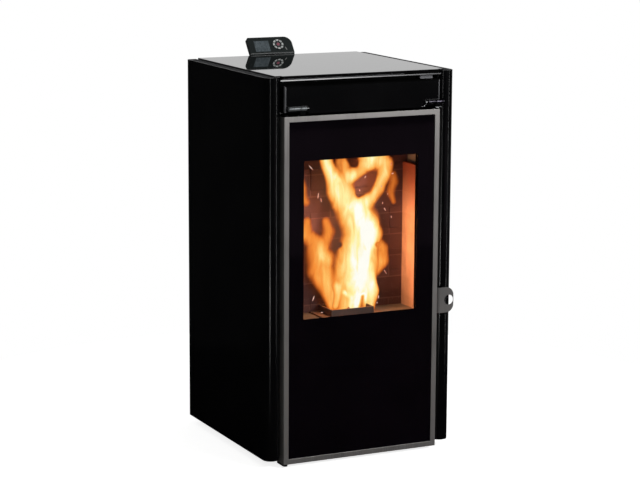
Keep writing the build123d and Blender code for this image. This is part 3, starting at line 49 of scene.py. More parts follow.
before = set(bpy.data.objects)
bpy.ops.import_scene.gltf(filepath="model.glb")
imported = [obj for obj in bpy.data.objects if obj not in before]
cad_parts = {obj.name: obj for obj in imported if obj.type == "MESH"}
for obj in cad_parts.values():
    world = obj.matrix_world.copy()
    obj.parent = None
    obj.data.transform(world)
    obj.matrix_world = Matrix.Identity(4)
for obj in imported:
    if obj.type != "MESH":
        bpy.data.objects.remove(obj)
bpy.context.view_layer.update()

MM = 0.001
NEAR = 0.01 * MM  # two places closer than this are the same
FLAT_WIDTH = 1 * MM  # faces with more area than this times their outline are shaded flat
SMOOTH = "SMOOTHSTEP"
WAVE_PERIOD = 0.314  # a wave texture of scale 1 repeats after this length
MULTIPLIED = {"data_type": "RGBA", "blend_type": "MULTIPLY"}
CAMERA_RAY, GLOSSY_RAY, TRANSMISSION_RAY = "Is Camera Ray", "Is Glossy Ray", "Is Transmission Ray"
FINISHES = {}


# ------------------------------------------------------------------ colours and shader nodes
def linear(code):
    """sRGB hex value as linear red, green, blue and full alpha."""
    parts = [int(code[i : i + 2], 16) / 255 for i in (0, 2, 4)]
    return (*[p / 12.92 if p <= 0.04045 else ((p + 0.055) / 1.055) ** 2.4 for p in parts], 1.0)


def grey(level):
    """Grey colour of one linear level."""
    return (level, level, level, 1.0)


WHITE = grey(1.0)


def add_node(tree, kind, inputs=None, stops=(), blend="EASE", **settings):
    """Add a shader node with its options, a value or a link for each input, and the stops of a colour ramp.

    A hex value is a colour, and a node stands for its first live output.
    """
    made = tree.nodes.new("ShaderNode" + kind)
    for name, value in settings.items():
        setattr(made, name, value)
    for name, value in (inputs or {}).items():
        if isinstance(value, bpy.types.Node):
            value = next(socket for socket in value.outputs if socket.enabled)
        if isinstance(value, bpy.types.NodeSocket):
            tree.links.new(value, made.inputs[name])
        else:
            made.inputs[name].default_value = linear(value) if isinstance(value, str) else value
    if stops:
        colours = [(place, linear(c) if isinstance(c, str) else c) for place, c in stops]
        marks = made.color_ramp.elements
        made.color_ramp.interpolation = blend
        for mark, (place, colour) in zip(marks, colours):
            mark.position, mark.color = place, colour
        for place, colour in colours[2:]:
            marks.new(place).color = colour
    return made


def start_material():
    """Empty material, add_node for its tree and the Object coordinates; make_finishes names it."""
    made = bpy.data.materials.new("finish")
    made.use_nodes = True
    made.node_tree.nodes.clear()
    add = partial(add_node, made.node_tree)
    return made, add, add("TexCoord").outputs["Object"]


def end_material(made, inputs):
    """Close a material with one principled surface."""
    shader = add_node(made.node_tree, "BsdfPrincipled", inputs)
    add_node(made.node_tree, "OutputMaterial", {"Surface": shader})
    return made


def coated(colour, tint, roughness, grain, relief, specular=0.5, metallic=0.0, spread=0.08):
    """Sprayed, plated or blasted surface: slow colour drift, a grainy bump and slightly uneven gloss."""
    made, add, place = start_material()
    drift = add("TexNoise", {"Vector": place, "Scale": 9.0, "Detail": 3.0})
    fine = add("TexNoise", {"Vector": place, "Scale": 1 / grain, "Detail": 2.0})
    body = add("ValToRGB", {"Fac": drift}, [(0.35, colour), (0.65, tint)])
    ends = {"To Min": roughness - spread / 2, "To Max": roughness + spread / 2}
    gloss = add("MapRange", {"Value": drift, **ends})
    bump = add("Bump", {"Height": fine, "Strength": 0.4, "Distance": relief})
    look = {"Base Color": body, "Roughness": gloss, "Metallic": metallic, "Normal": bump}
    return end_material(made, {**look, "Specular IOR Level": specular})


# ------------------------------------------------------------------ materials, each named for the real one
def powder_coat_black():
    """Powder-coated sheet steel: deep black, faint orange peel, drawn at 3 mm so that it shows."""
    return coated("040405", "060607", 0.14, grain=3 * MM, relief=0.006 * MM, spread=0.03)


def matte_black_painted_shade():
    """Matte black lacquer of the face frame and the lid's tray, soot black with no sheen; on the lid's tray
    and on the faces that look up it is also painted shade for the shadow under the lid and the upper panel.
    """
    return coated("060606", "0A0A0A", 0.9, grain=2 * MM, relief=0.03 * MM, specular=0.0)


def end_plate_painted_light():
    """Matte grey on the end plates of the side panels: painted light, a little paler than the sides, for the
    sheen their top faces catch from above.
    """
    return coated("343436", "3E3E40", 0.8, grain=2 * MM, relief=0.03 * MM, specular=0.1)


def satin_steel_grey():
    """Brushed stainless sheet under clear varnish: warm grey, long fine brush lines along the strips."""
    made, add, place = start_material()
    brushed = add("Mapping", {"Vector": place, "Scale": (1 / (0.7 * MM), 60.0, 5.0)})
    lines = add("TexNoise", {"Vector": brushed, "Scale": 1.0, "Detail": 3.0})
    drift = add("TexNoise", {"Vector": place, "Scale": 6.0})
    both = add("Math", {0: lines, 1: drift}, operation="ADD")
    body = add("ValToRGB", {"Fac": both}, [(0.75, "8C8987"), (1.25, "A29F9D")])
    bump = add("Bump", {"Height": lines, "Strength": 0.2, "Distance": 0.02 * MM})
    return end_material(made, {"Base Color": body, "Metallic": 0.75, "Roughness": 0.38, "Normal": bump})


def zinc_plate():
    """Electro-galvanised sheet: cool grey crystals about 12 mm across with a dull shine."""
    made, add, place = start_material()
    spangle = add("TexVoronoi", {"Vector": place, "Scale": 1 / (12 * MM), "Randomness": 1.0})
    tone = add("SeparateColor", {"Color": spangle.outputs["Color"]})
    body = add("ValToRGB", {"Fac": tone}, [(0.0, "9A9DA0"), (1.0, "B9BCBE")])
    gloss = add("MapRange", {"Value": tone.outputs["Green"], "To Min": 0.36, "To Max": 0.52})
    return end_material(made, {"Base Color": body, "Metallic": 1.0, "Roughness": gloss})


def heat_steel():
    """Mild steel darkened by heat: brown-black scale with soot clouds, matte."""
    return coated("2A2320", "4A3A33", 0.62, grain=5 * MM, relief=0.15 * MM, specular=0.3, spread=0.2)


def chamber_steel():
    """Bare steel of the chamber above the linings: grey-brown, soot-stained."""
    return coated("4A4847", "5E5B59", 0.6, grain=6 * MM, relief=0.2 * MM, specular=0.3, spread=0.2)


def cast_iron():
    """Sand-cast iron of the burn pot and the motors: grain of about 1.5 mm, dark grey-brown, dull."""
    return coated("4A3D38", "665048", 0.6, grain=1.5 * MM, relief=0.3 * MM, specular=0.35, spread=0.15)


def fire_brick(brick, shade, joint, darken_from, darken_to):
    """Pressed vermiculite slab: crumbly grain, joints in the slab's grooves, and a reddish darkening towards
    the top.
    """
    made, add, place = start_material()
    centred = {"Location": (-BRICK_X, BRICK_Z, 0.0), "Rotation": (-math.pi / 2, 0, 0)}
    turned = add("Mapping", {"Vector": place, **centred})
    sizes = {"Brick Width": BRICK_LENGTH, "Row Height": BRICK_COURSE, "Mortar Size": BRICK_JOINT / 2}
    tones = {"Color1": brick, "Color2": shade, "Mortar": joint, "Mortar Smooth": 0.3, "Bias": 0.0}
    wall = add("TexBrick", {"Vector": turned, "Scale": 1.0, **sizes, **tones}, offset=0.5)
    crumbs = add("TexNoise", {"Vector": place, "Scale": 1 / (4 * MM), "Detail": 4.0})
    clouds = add("TexNoise", {"Vector": place, "Scale": 1 / (90 * MM), "Detail": 3.0})
    soot = add("ValToRGB", {"Fac": clouds}, [(0.3, grey(0.62)), (0.7, WHITE)])
    clouded = add("Mix", {"Factor": 1.0, "A": wall, "B": soot}, **MULTIPLIED)
    height = add("SeparateXYZ", {"Vector": place}).outputs["Z"]
    ragged = add("MapRange", {"Value": clouds, "To Min": -0.05, "To Max": 0.05})
    rising = add("Math", {0: height, 1: ragged}, operation="ADD")
    # darker and redder towards the top, with a ragged edge
    band = {"Value": rising, "From Min": darken_from, "From Max": darken_to}
    upward_ramp = add("MapRange", band, interpolation_type=SMOOTH)
    upward_darkening = add("ValToRGB", {"Fac": upward_ramp}, [(0.0, WHITE), (1.0, "AA6959")], "LINEAR")
    body = add("Mix", {"Factor": 1.0, "A": clouded, "B": upward_darkening}, **MULTIPLIED)
    bump = add("Bump", {"Height": crumbs, "Strength": 0.5, "Distance": 0.4 * MM})
    look = {"Base Color": body, "Roughness": 0.85, "Normal": bump, "Specular IOR Level": 0.2}
    return end_material(made, look)


def fire_brick_wall():
    """Slab behind the fire: brown brick, darker from 0.6 m up."""
    return fire_brick("664A4A", "573E3F", "785855", 0.6, 0.76)


def fire_brick_side():
    """Side slabs: pale and smooth, so that the fire lights them, darker from 0.54 m up."""
    return fire_brick("B49888", "A88C7A", "AE9281", 0.54, 0.68)


def glass_ceramic_print():
    """Black enamel printed behind the door's glass ceramic: near black with a purple cast, polished."""
    return coated("060407", "080509", 0.06, grain=60 * MM, relief=0.01 * MM, spread=0.03)


def glass_ceramic_clear():
    """Clear glass ceramic of the window: a thin smoky tint and a polished reflection."""
    made, add, place = start_material()
    film = add("TexNoise", {"Vector": place, "Scale": 1 / (40 * MM), "Detail": 4.0})
    haze = add("MapRange", {"Value": film, "To Min": 0.05, "To Max": 0.09})
    look = {"Base Color": "1A1210", "Roughness": 0.04, "Alpha": haze, "Specular IOR Level": 0.25}
    return end_material(made, look)


def lid_glass_black():
    """Tempered glass painted black underneath: a mirror-smooth black that reflects at low angles."""
    return coated("070708", "0A0A0B", 0.025, grain=80 * MM, relief=0.004 * MM, specular=0.42, spread=0.01)


def glass_fibre_rope():
    """Plaited glass-fibre rope: grey-beige strands of 2.5 mm crossing along its length."""
    made, add, _ = start_material()
    along = add("UVMap", uv_map="rope")
    strand = 2.5  # the rope's own map is in millimetres
    strands = []
    for turn in (math.pi / 4, -math.pi / 4):
        turned = add("Mapping", {"Vector": along, "Rotation": (0, 0, turn)})
        wave = add("TexWave", {"Vector": turned, "Scale": WAVE_PERIOD / strand, "Distortion": 0.4})
        strands.append(wave.outputs["Fac"])
    weave = add("Math", {0: strands[0], 1: strands[1]}, operation="MAXIMUM")
    body = add("ValToRGB", {"Fac": weave}, [(0.2, "4E4A44"), (0.9, "8E887D")])
    bump = add("Bump", {"Height": weave, "Strength": 0.8, "Distance": 0.8 * MM})
    return end_material(made, {"Base Color": body, "Roughness": 0.9, "Sheen Weight": 0.2, "Normal": bump})


def abs_dark():
    """Injection-moulded ABS: dark grey-green with spark-eroded grain of 0.6 mm, drawn at 1 mm."""
    return coated("222828", "2A3030", 0.42, grain=1 * MM, relief=0.05 * MM, specular=0.45)


def translucent_keys():
    """Translucent moulded lens of the display's lamp: pale grey, slightly clouded."""
    made, add, place = start_material()
    cloud = add("TexNoise", {"Vector": place, "Scale": 1 / (5 * MM)})
    body = add("ValToRGB", {"Fac": cloud}, [(0.3, "9A9C9A"), (0.7, "C9CAC8")])
    return end_material(made, {"Base Color": body, "Roughness": 0.35})


def keypad_print():
    """Keypad: a red lit middle, a dark field and a ring of eight pale printed petals, 29 mm across."""
    made, add, place = start_material()
    offset = add("VectorMath", {0: place, 1: KEYPAD}, operation="SUBTRACT")
    away = add("VectorMath", {0: offset}, operation="LENGTH")
    across = add("SeparateXYZ", {"Vector": offset})
    rise = add("VectorMath", {0: offset, 1: DISPLAY_UP}, operation="DOT_PRODUCT")
    turn = add("Math", {0: across, 1: rise}, operation="ARCTAN2")
    petals = add("Math", {0: turn, 1: 8.0}, operation="MULTIPLY")
    wave = add("Math", {0: petals}, operation="COSINE")
    printed = add("MapRange", {"Value": wave, "From Min": -0.7, "From Max": 0.1, "To Min": 0.25})
    ring = add("MapRange", {"Value": away, "From Min": 7.5 * MM, "From Max": 8.5 * MM})
    shade = add("Mix", {"Factor": ring, "A": WHITE, "B": printed}, data_type="RGBA")
    spot = add("MapRange", {"Value": away, "From Max": 15 * MM})
    middle = [(0.24, "A05A68"), (0.33, "6A6468"), (0.42, "2C3232"), (0.6, "3A4040")]
    rim = [(0.66, "C4CAC8"), (0.9, "DADEDC"), (0.97, "303636")]
    tone = add("ValToRGB", {"Fac": spot}, middle + rim, "LINEAR")
    body = add("Mix", {"Factor": 1.0, "A": tone, "B": shade}, **MULTIPLIED)
    return end_material(made, {"Base Color": body, "Roughness": 0.35})


def liquid_crystal():
    """Switched-off liquid-crystal screen: blue-grey cells, drawn at 2.4 mm, with darker gaps."""
    made, add, place = start_material()
    sizes = {"Mortar Size": 0.12 * MM, "Brick Width": 2.4 * MM, "Row Height": 2.4 * MM, "Scale": 1.0}
    tones = {"Color1": "5A6468", "Color2": "70797E", "Mortar": "454D52"}
    cells = add("TexBrick", {"Vector": place, **tones, **sizes}, offset=0.0)
    cloud = add("TexNoise", {"Vector": place, "Scale": 1 / (7 * MM), "Detail": 2.0})
    shade = add("ValToRGB", {"Fac": cloud}, [(0.35, grey(0.75)), (0.65, WHITE)])
    body = add("Mix", {"Factor": 1.0, "A": cells, "B": shade}, **MULTIPLIED)
    return end_material(made, {"Base Color": body, "Roughness": 0.18})


def black_rubber():
    """Moulded rubber and nylon: matte black with a fine pebble."""
    return coated("121212", "1A1A1A", 0.75, grain=2 * MM, relief=0.1 * MM, specular=0.35)


def nickel_painted_shaded():
    """Nickel plating on the right barrel, painted shaded: a darker copy of the left barrel's plating, with a
    painted cool purple sheen.
    """
    return coated("3A383E", "46434C", 0.3, grain=2 * MM, relief=0.02 * MM, metallic=1.0)


def bright_steel():
    """Nickel-plated pins, screws and wheels: bright, slightly dulled by handling."""
    return coated("9FA0A2", "B4B5B7", 0.28, grain=2 * MM, relief=0.02 * MM, metallic=1.0)


def blasted_steel():
    """Bead-blasted stainless plate of the handle: even mid grey, half matte, with a fine pitted grain."""
    return coated("545352", "5E5C5B", 0.6, grain=1.2 * MM, relief=0.03 * MM, metallic=0.15)


def blasted_dull():
    """Blasted zinc casting of the lid's catch: dull mid grey."""
    return coated("6E6E72", "7C7C80", 0.6, grain=1.2 * MM, relief=0.03 * MM, metallic=0.3)


def nickel_painted_lit():
    """Nickel plating on the left barrel, painted lit: a lighter copy of the right barrel's plating, soft grey
    with a broad highlight.
    """
    return coated("6C7072", "7A7E80", 0.45, grain=2 * MM, relief=0.02 * MM, metallic=0.7)


def painted_edge_highlight():
    """Painted highlight on the upper panel's rounded ends and the lid's hem: pale grey metal standing in for
    the light these rounded edges catch.
    """
    return coated("5A5A5C", "77777A", 0.45, grain=1.5 * MM, relief=0.02 * MM, metallic=0.6)


def polished_bead():
    """Bead on the lid's lip in near-white, a painted highlight: bright at the left, fading towards the right.
    """
    made, add, place = start_material()
    along = add("SeparateXYZ", {"Vector": place})
    grain = add("TexNoise", {"Vector": place, "Scale": 1 / (4 * MM)})
    # painted highlight: the base colour fades from near-white at the left to grey at the right, as a
    # highlight falls off along the lip
    highlight_fade = add("MapRange", {"Value": along, "From Min": -0.22, "From Max": 0.2})
    highlight_falloff = [(0.0, "F6F6F6"), (0.3, "D4D4D6"), (0.65, "9A9A9C"), (1.0, "6C6C6E")]
    tone = add("ValToRGB", {"Fac": highlight_fade}, highlight_falloff, "LINEAR")
    speck = add("ValToRGB", {"Fac": grain}, [(0.35, grey(0.86)), (0.65, WHITE)])
    body = add("Mix", {"Factor": 1.0, "A": tone, "B": speck}, **MULTIPLIED)
    return end_material(made, {"Base Color": body, "Metallic": 0.05, "Roughness": 0.35})


def flame(low, high):
    """Burning gas: the sheet's "burning" attribute and upward streaks set colour, glow and thickness."""
    made, add, place = start_material()
    heat = add("Attribute", attribute_name="burning").outputs["Fac"]
    stretched = add("Mapping", {"Vector": place, "Scale": (1 / (22 * MM), 1 / (60 * MM), 1 / (70 * MM))})
    rough = {"Scale": 1.0, "Detail": 3.0, "Roughness": 0.45, "Distortion": 0.9}
    streaks = add("TexNoise", {"Vector": stretched, **rough})
    ends = {"From Min": 0.25, "From Max": 0.75, "To Min": 0.72, "To Max": 1.22}
    break_up = add("MapRange", {"Value": streaks, **ends})
    hot = add("Math", {0: heat, 1: break_up}, operation="MULTIPLY")
    orange = [(0.0, "7A2A0C"), (0.18, "DC6A22"), (0.36, "F8943C")]
    yellow = [(0.54, "FFC064"), (0.74, "FFF2A4"), (0.93, "FFFEF4")]
    glow = add("ValToRGB", {"Fac": hot}, orange + yellow, "LINEAR")
    thick = add("MapRange", {"Value": hot, "From Min": low, "From Max": high}, interpolation_type=SMOOTH)
    black = {"Base Color": grey(0.0), "Roughness": 1.0, "Specular IOR Level": 0.0}
    return end_material(made, {**black, "Emission Color": glow, "Emission Strength": 1.15, "Alpha": thick})


def flame_core():
    """Flame over the middle of the pot: solid almost to its rim."""
    return flame(0.05, 0.42)


def flame_tongue():
    """Cooler flames behind: orange, with thinner rims."""
    return flame(0.03, 0.36)


def glowing_fuel():
    """Burning wood pellets: orange embers with grey ash in patches of 6 mm."""
    made, add, place = start_material()
    ash = add("TexNoise", {"Vector": place, "Scale": 1 / (6 * MM), "Detail": 3.0})
    glow = add("ValToRGB", {"Fac": ash}, [(0.3, "200A04"), (0.5, "C8481A"), (0.65, "FFB050")])
    look = {"Base Color": "3A2E28", "Roughness": 0.9, "Emission Color": glow, "Emission Strength": 0.9}
    return end_material(made, look)


def flying_spark():
    """Sparks: pinkish-white streaks of burning dust, of uneven brightness."""
    made, add, place = start_material()
    flicker = add("TexNoise", {"Vector": place, "Scale": 1 / (5 * MM)})
    glow = add("ValToRGB", {"Fac": flicker}, [(0.3, "D06048"), (0.6, "FFD8C8")])
    look = {"Base Color": "301008", "Roughness": 1.0, "Emission Color": glow, "Emission Strength": 1.0}
    return end_material(made, look)


def studio_floor():
    """Matte white card with a faint paper grain; white to the camera, and it keeps a soft shadow."""
    made, add, place = start_material()
    fibre = add("TexNoise", {"Vector": place, "Scale": 1 / (20 * MM)})
    body = add("ValToRGB", {"Fac": fibre}, [(0.3, "E4E4E2"), (0.7, "E9E9E8")])
    card = add("BsdfDiffuse", {"Color": body})
    white = add("Emission", {"Color": WHITE, "Strength": 0.82})
    dim = add("BsdfDiffuse", {"Color": grey(0.004)})
    ray = add("LightPath").outputs
    shown = add("Math", {0: ray[CAMERA_RAY], 1: ray[TRANSMISSION_RAY]}, operation="MAXIMUM")
    lift = add("AddShader", {0: card, 1: white})
    plain = add("MixShader", {"Fac": ray[GLOSSY_RAY], 1: card, 2: dim})
    both = add("MixShader", {"Fac": shown, 1: plain, 2: lift})
    add("OutputMaterial", {"Surface": both})
    return made


def make_finishes():
    """Build every finish once and name it for its function."""
    for make in (
        powder_coat_black, matte_black_painted_shade, end_plate_painted_light, satin_steel_grey, zinc_plate,
        heat_steel, chamber_steel, cast_iron, fire_brick_wall, fire_brick_side, glass_ceramic_print,
        glass_ceramic_clear, lid_glass_black, glass_fibre_rope, abs_dark, translucent_keys, keypad_print,
        liquid_crystal, black_rubber, nickel_painted_shaded, bright_steel, blasted_steel, blasted_dull, nickel_painted_lit,
        painted_edge_highlight, polished_bead, flame_core, flame_tongue, glowing_fuel, flying_spark, studio_floor,
    ):
        FINISHES[make.__name__] = make()
        FINISHES[make.__name__].name = make.__name__


# ------------------------------------------------------------------ mesh and lamp helpers
def limits(node):
    """The two limits of a CAD node on each axis."""
    return list(zip(*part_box(node)))


def picked(geom, kind):
    """The vertices, edges or faces among an operator's results."""
    return [part for part in geom if isinstance(part, kind)]


def edges_at(edges, axis, *places):
    """Edges with both ends at one of the places on an axis."""
    return [e for e in edges if all(min(abs(v.co[axis] - p) for p in places) < NEAR for v in e.verts)]


def add_box(shape, *spans):
    """Box between two limits on each axis."""
    size = [high - low for low, high in spans]
    place = Matrix.Translation([sum(span) / 2 for span in spans]) @ Matrix.Diagonal((*size, 1))
    bmesh.ops.create_cube(shape, size=1, matrix=place)


def ring(shape, points):
    """Closed ring of edges through a few points; returns its vertices and edges."""
    verts = [shape.verts.new(p) for p in points]
    return verts, [shape.edges.new(pair) for pair in zip(verts, verts[1:] + verts[:1])]


def raise_edges(shape, edges, way):
    """Extrude edges along a vector; returns the new faces."""
    made = bmesh.ops.extrude_edge_only(shape, edges=edges)["geom"]
    bmesh.ops.translate(shape, vec=way, verts=picked(made, BMVert))
    return picked(made, BMFace)


def push_faces(shape, faces, way):
    """Extrude faces along a vector."""
    made = bmesh.ops.extrude_face_region(shape, geom=faces)["geom"]
    bmesh.ops.translate(shape, vec=way, verts=picked(made, BMVert))


def slab(shape, outline, way):
    """Closed slab from one flat outline, pushed along a vector."""
    verts, _ = ring(shape, outline)
    push_faces(shape, [shape.faces.new(verts)], way)


def mitred_frame(shape, section, x, z):
    """Rectangular frame: a closed section of (distance inwards, depth) points carried round it."""
    corners = ((1, 1, x[0], z[0]), (-1, 1, x[1], z[0]), (-1, -1, x[1], z[1]), (1, -1, x[0], z[1]))
    loops = []
    for sx, sz, cx, cz in corners:
        points = [(cx + sx * inward, depth, cz + sz * inward) for inward, depth in section]
        loops.append(ring(shape, points)[1])
    for one, two in zip(loops, loops[1:] + loops[:1]):
        bmesh.ops.bridge_loops(shape, edges=one + two)


def bevel(shape, geom, width, segments=3, affect="EDGES"):
    """Rounded bevel on chosen edges or on the corners of a flat outline; returns the new faces."""
    round_ = {"profile_type": "SUPERELLIPSE", "profile": 0.5, "clamp_overlap": True, "material": -1}
    size = {"offset": width, "offset_type": "OFFSET", "segments": segments}
    return bmesh.ops.bevel(shape, geom=geom, affect=affect, **size, **round_)["faces"]


def add_rod(shape, start, way, radius, segments=32, round_off=0.0):
    """Round bar from a point along a vector, with eased ends where round_off says so."""
    way = Vector(way)
    place = Matrix.Translation(Vector(start) + way / 2) @ way.to_track_quat("Z", "Y").to_matrix().to_4x4()
    ends = {"radius1": radius, "radius2": radius, "cap_ends": True}
    made = bmesh.ops.create_cone(shape, segments=segments, depth=way.length, matrix=place, **ends)
    if round_off:
        axis = way.normalized()
        edges = {edge for vert in made["verts"] for edge in vert.link_edges}
        rims = [e for e in edges if abs((e.verts[0].co - e.verts[1].co).dot(axis)) < NEAR]
        bevel(shape, rims, round_off)


def finish_piece(name, shape, body, finishes, replaced=(), edge=0.0, segments=3, sharp=35.0):
    """Turn a bmesh into a finished piece that rides on a body and stands for CAD nodes."""
    bmesh.ops.remove_doubles(shape, verts=shape.verts, dist=0.005 * MM)
    bmesh.ops.recalc_face_normals(shape, faces=shape.faces)
    slender = [face.calc_area() < FLAT_WIDTH * face.calc_perimeter() for face in shape.faces]
    mesh = bpy.data.meshes.new(name)
    shape.to_mesh(mesh)
    shape.free()
    mesh.set_sharp_from_angle(angle=math.radians(sharp))
    for face, narrow in zip(mesh.polygons, slender):
        face.use_smooth = narrow
    for finish in finishes:
        mesh.materials.append(FINISHES[finish])
    piece = bpy.data.objects.new(name, mesh)
    bpy.context.scene.collection.objects.link(piece)
    if edge:
        rounding = piece.modifiers.new("eased_edges", "BEVEL")
        rounding.width = edge
        rounding.segments = segments
        rounding.limit_method = "ANGLE"
        rounding.angle_limit = math.radians(sharp)
        rounding.harden_normals = True
    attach(piece, body)
    if replaced:
        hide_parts(*replaced)


def coat_node(name, finish):
    """Give a CAD node its finish."""
    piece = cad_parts[name]
    if not piece.material_slots:
        piece.data.materials.append(FINISHES[finish])
    for slot in piece.material_slots:
        slot.material = FINISHES[finish]


def add_lamp(name, kind, place, power, colour=(1.0, 1.0, 1.0), aim=(0, 0, -1), **sizes):
    """Lamp at a place that shines along a vector."""
    lamp = bpy.data.lights.new(name, kind)
    lamp.energy = power
    lamp.color = colour
    for size, value in sizes.items():
        setattr(lamp, size, value)
    holder = bpy.data.objects.new(name, lamp)
    holder.location = place
    holder.rotation_euler = Vector(aim).to_track_quat("-Z", "Y").to_euler()
    bpy.context.scene.collection.objects.link(holder)


# ------------------------------------------------------------------ places read from the frame
PANEL = limits("side_panel_right")
TRAY = limits("door_tray")
PANE = limits("door_glass")
SEAL = limits("door_seal")
TAB = limits("door_handle")
FLAP = limits("flap_panel")
LID = limits("lid_glass")
LID_FRAME = limits("lid_tray")
POT_Y = sum(limits("burn_pot")[1]) / 2
KEYPAD = [sum(span) / 2 for span in limits("key_power")]
DISPLAY_LEAN = math.radians(37.2)  # how far the display leans back at rest
DISPLAY_UP = Vector((0, math.sin(DISPLAY_LEAN), math.cos(DISPLAY_LEAN)))
# The grooves of the back lining: one brick with its joint, and the middle of the pattern
BRICK_LENGTH = 106 * MM
BRICK_COURSE = 52.3 * MM
BRICK_JOINT = 3 * MM
BRICK_X = 29 * MM
BRICK_Z = limits("back_lining")[2][0] + 34.3 * MM


# ------------------------------------------------------------------ settings
def length(name, description, default):
    """Property that holds a length."""
    return FloatProperty(name=name, description=description, default=default, unit="LENGTH")


def power(name, description, default):
    """Property that holds a lamp's power."""
    return FloatProperty(name=name, description=description, default=default, unit="POWER")


class CaseSettings(bpy.types.PropertyGroup):
    sheet: length("Sheet", "Side panel sheet", 2 * MM)
    column: length("Column", "Front column diameter", 40 * MM)
    leg: length("Leg", "Folded leg behind a column", 30 * MM)
    band: length("Band", "Folded end bands", 24 * MM)
    bend: length("Bend", "Radius of the rear fold", 5 * MM)
    ease: length("Ease", "Rounded rim of the end plates", 1 * MM)


class DoorSettings(bpy.types.PropertyGroup):
    strip: length("Strip", "Steel strip round the glass", 12.5 * MM)
    sheet: length("Sheet", "Door sheet", 2 * MM)
    window_x: length("Window place", "Window middle from the door's middle", -2 * MM)
    window_width: length("Window width", "Clear part of the glass", 298 * MM)
    window_low: length("Window foot", "Lower edge of the window", 353 * MM)
    window_high: length("Window head", "Upper edge of the window", 726 * MM)
    rope: length("Rope", "Width of the sealing rope", 10 * MM)
    hole_x: length("Hole place", "Finger hole's middle from the door's middle", 232 * MM)
    finger_hole: length("Finger hole", "Hole in the handle", 24 * MM)
    handle_corner: length("Handle corner", "Rounded handle corners", 20 * MM)
    handle_bend: length("Handle bend", "Outside radius of the handle's bend", 7 * MM)


class UpperSettings(bpy.types.PropertyGroup):
    sheet: length("Sheet", "Panel sheet", 2 * MM)
    fold: length("Fold", "Depth of the folded edges", 12 * MM)
    bend: length("Bend", "Rounded ends and head of the panel", 4 * MM)
    ease: length("Ease", "Rounded level edges", 1.5 * MM)
    notch: length("Notch", "Height of the notches", 4.5 * MM)
    notch_left: length("Left notch", "Inner end of the left notch", -141.5 * MM)
    notch_right: length("Right notch", "Inner end of the right notch", 154.7 * MM)
    axis_y: length("Axis depth", "Hinge axis, front to back", -260.6 * MM)
    axis_z: length("Axis height", "Hinge axis over the floor", 848.6 * MM)
    split_left: length("Left split", "Middle of the left barrel", -165 * MM)
    split_right: length("Right split", "Middle of the right barrel", 187 * MM)
    half: length("Half", "Length of half a barrel", 20.5 * MM)
    gap: length("Gap", "Half the gap between the halves", 0.2 * MM)
    barrel: length("Barrel", "Radius of the barrel", 4.85 * MM)
    pin: length("Pin", "Radius of the pin", 1.7 * MM)
    ball: length("Ball", "Radius of the pin's ball", 3.7 * MM)
    cap: length("Cap", "Sleeve over the left pin's ball", 9.3 * MM)
    ball_reach: length("Ball reach", "Barrel to the ball's middle", 5.2 * MM)


class LidSettings(bpy.types.PropertyGroup):
    chamfer: length("Chamfer", "Ground edge of the lid glass", 0.8 * MM)
    notch: length("Notch", "Length of the tongue", 8 * MM)
    tongue: length("Tongue", "Half width of the tongue", 203.25 * MM)
    bead: length("Bead", "Radius of the bead on the lip", 1.45 * MM)
    bead_drop: length("Bead drop", "Glass to the bead", 6.6 * MM)
    hem: length("Hem", "Radius of the rolled hem", 0.5 * MM)
    hem_drop: length("Hem drop", "Glass to the hem", 3.2 * MM)


class FireSettings(bpy.types.PropertyGroup):
    rows: IntProperty(name="Rows", description="Rows of faces in a flame sheet", default=150, min=20, max=260)
    glow: power("Glow", "Power of the fire's light", 6.0)
    tint: FloatVectorProperty(
        name="Tint", description="Colour of the fire's light", subtype="COLOR", default=(1.0, 0.4, 0.15)
    )
    pellets: IntProperty(name="Pellets", description="Burning pellets in the pot", default=90, min=1, max=400)
    pellet: length("Pellet", "Radius of a pellet", 3 * MM)


class StudioSettings(bpy.types.PropertyGroup):
    key_power: power("Key", "Power of the soft key light", 30.0)
    strip_power: power("Strip", "Power that the strip lights share", 4.0)
    fill: FloatProperty(name="Fill", description="Strength of the sky light", default=0.35)
    floor: length("Floor", "Radius of the floor", 1.15)
    lens: FloatProperty(name="Lens", description="Focal length in millimetres", default=120.0)


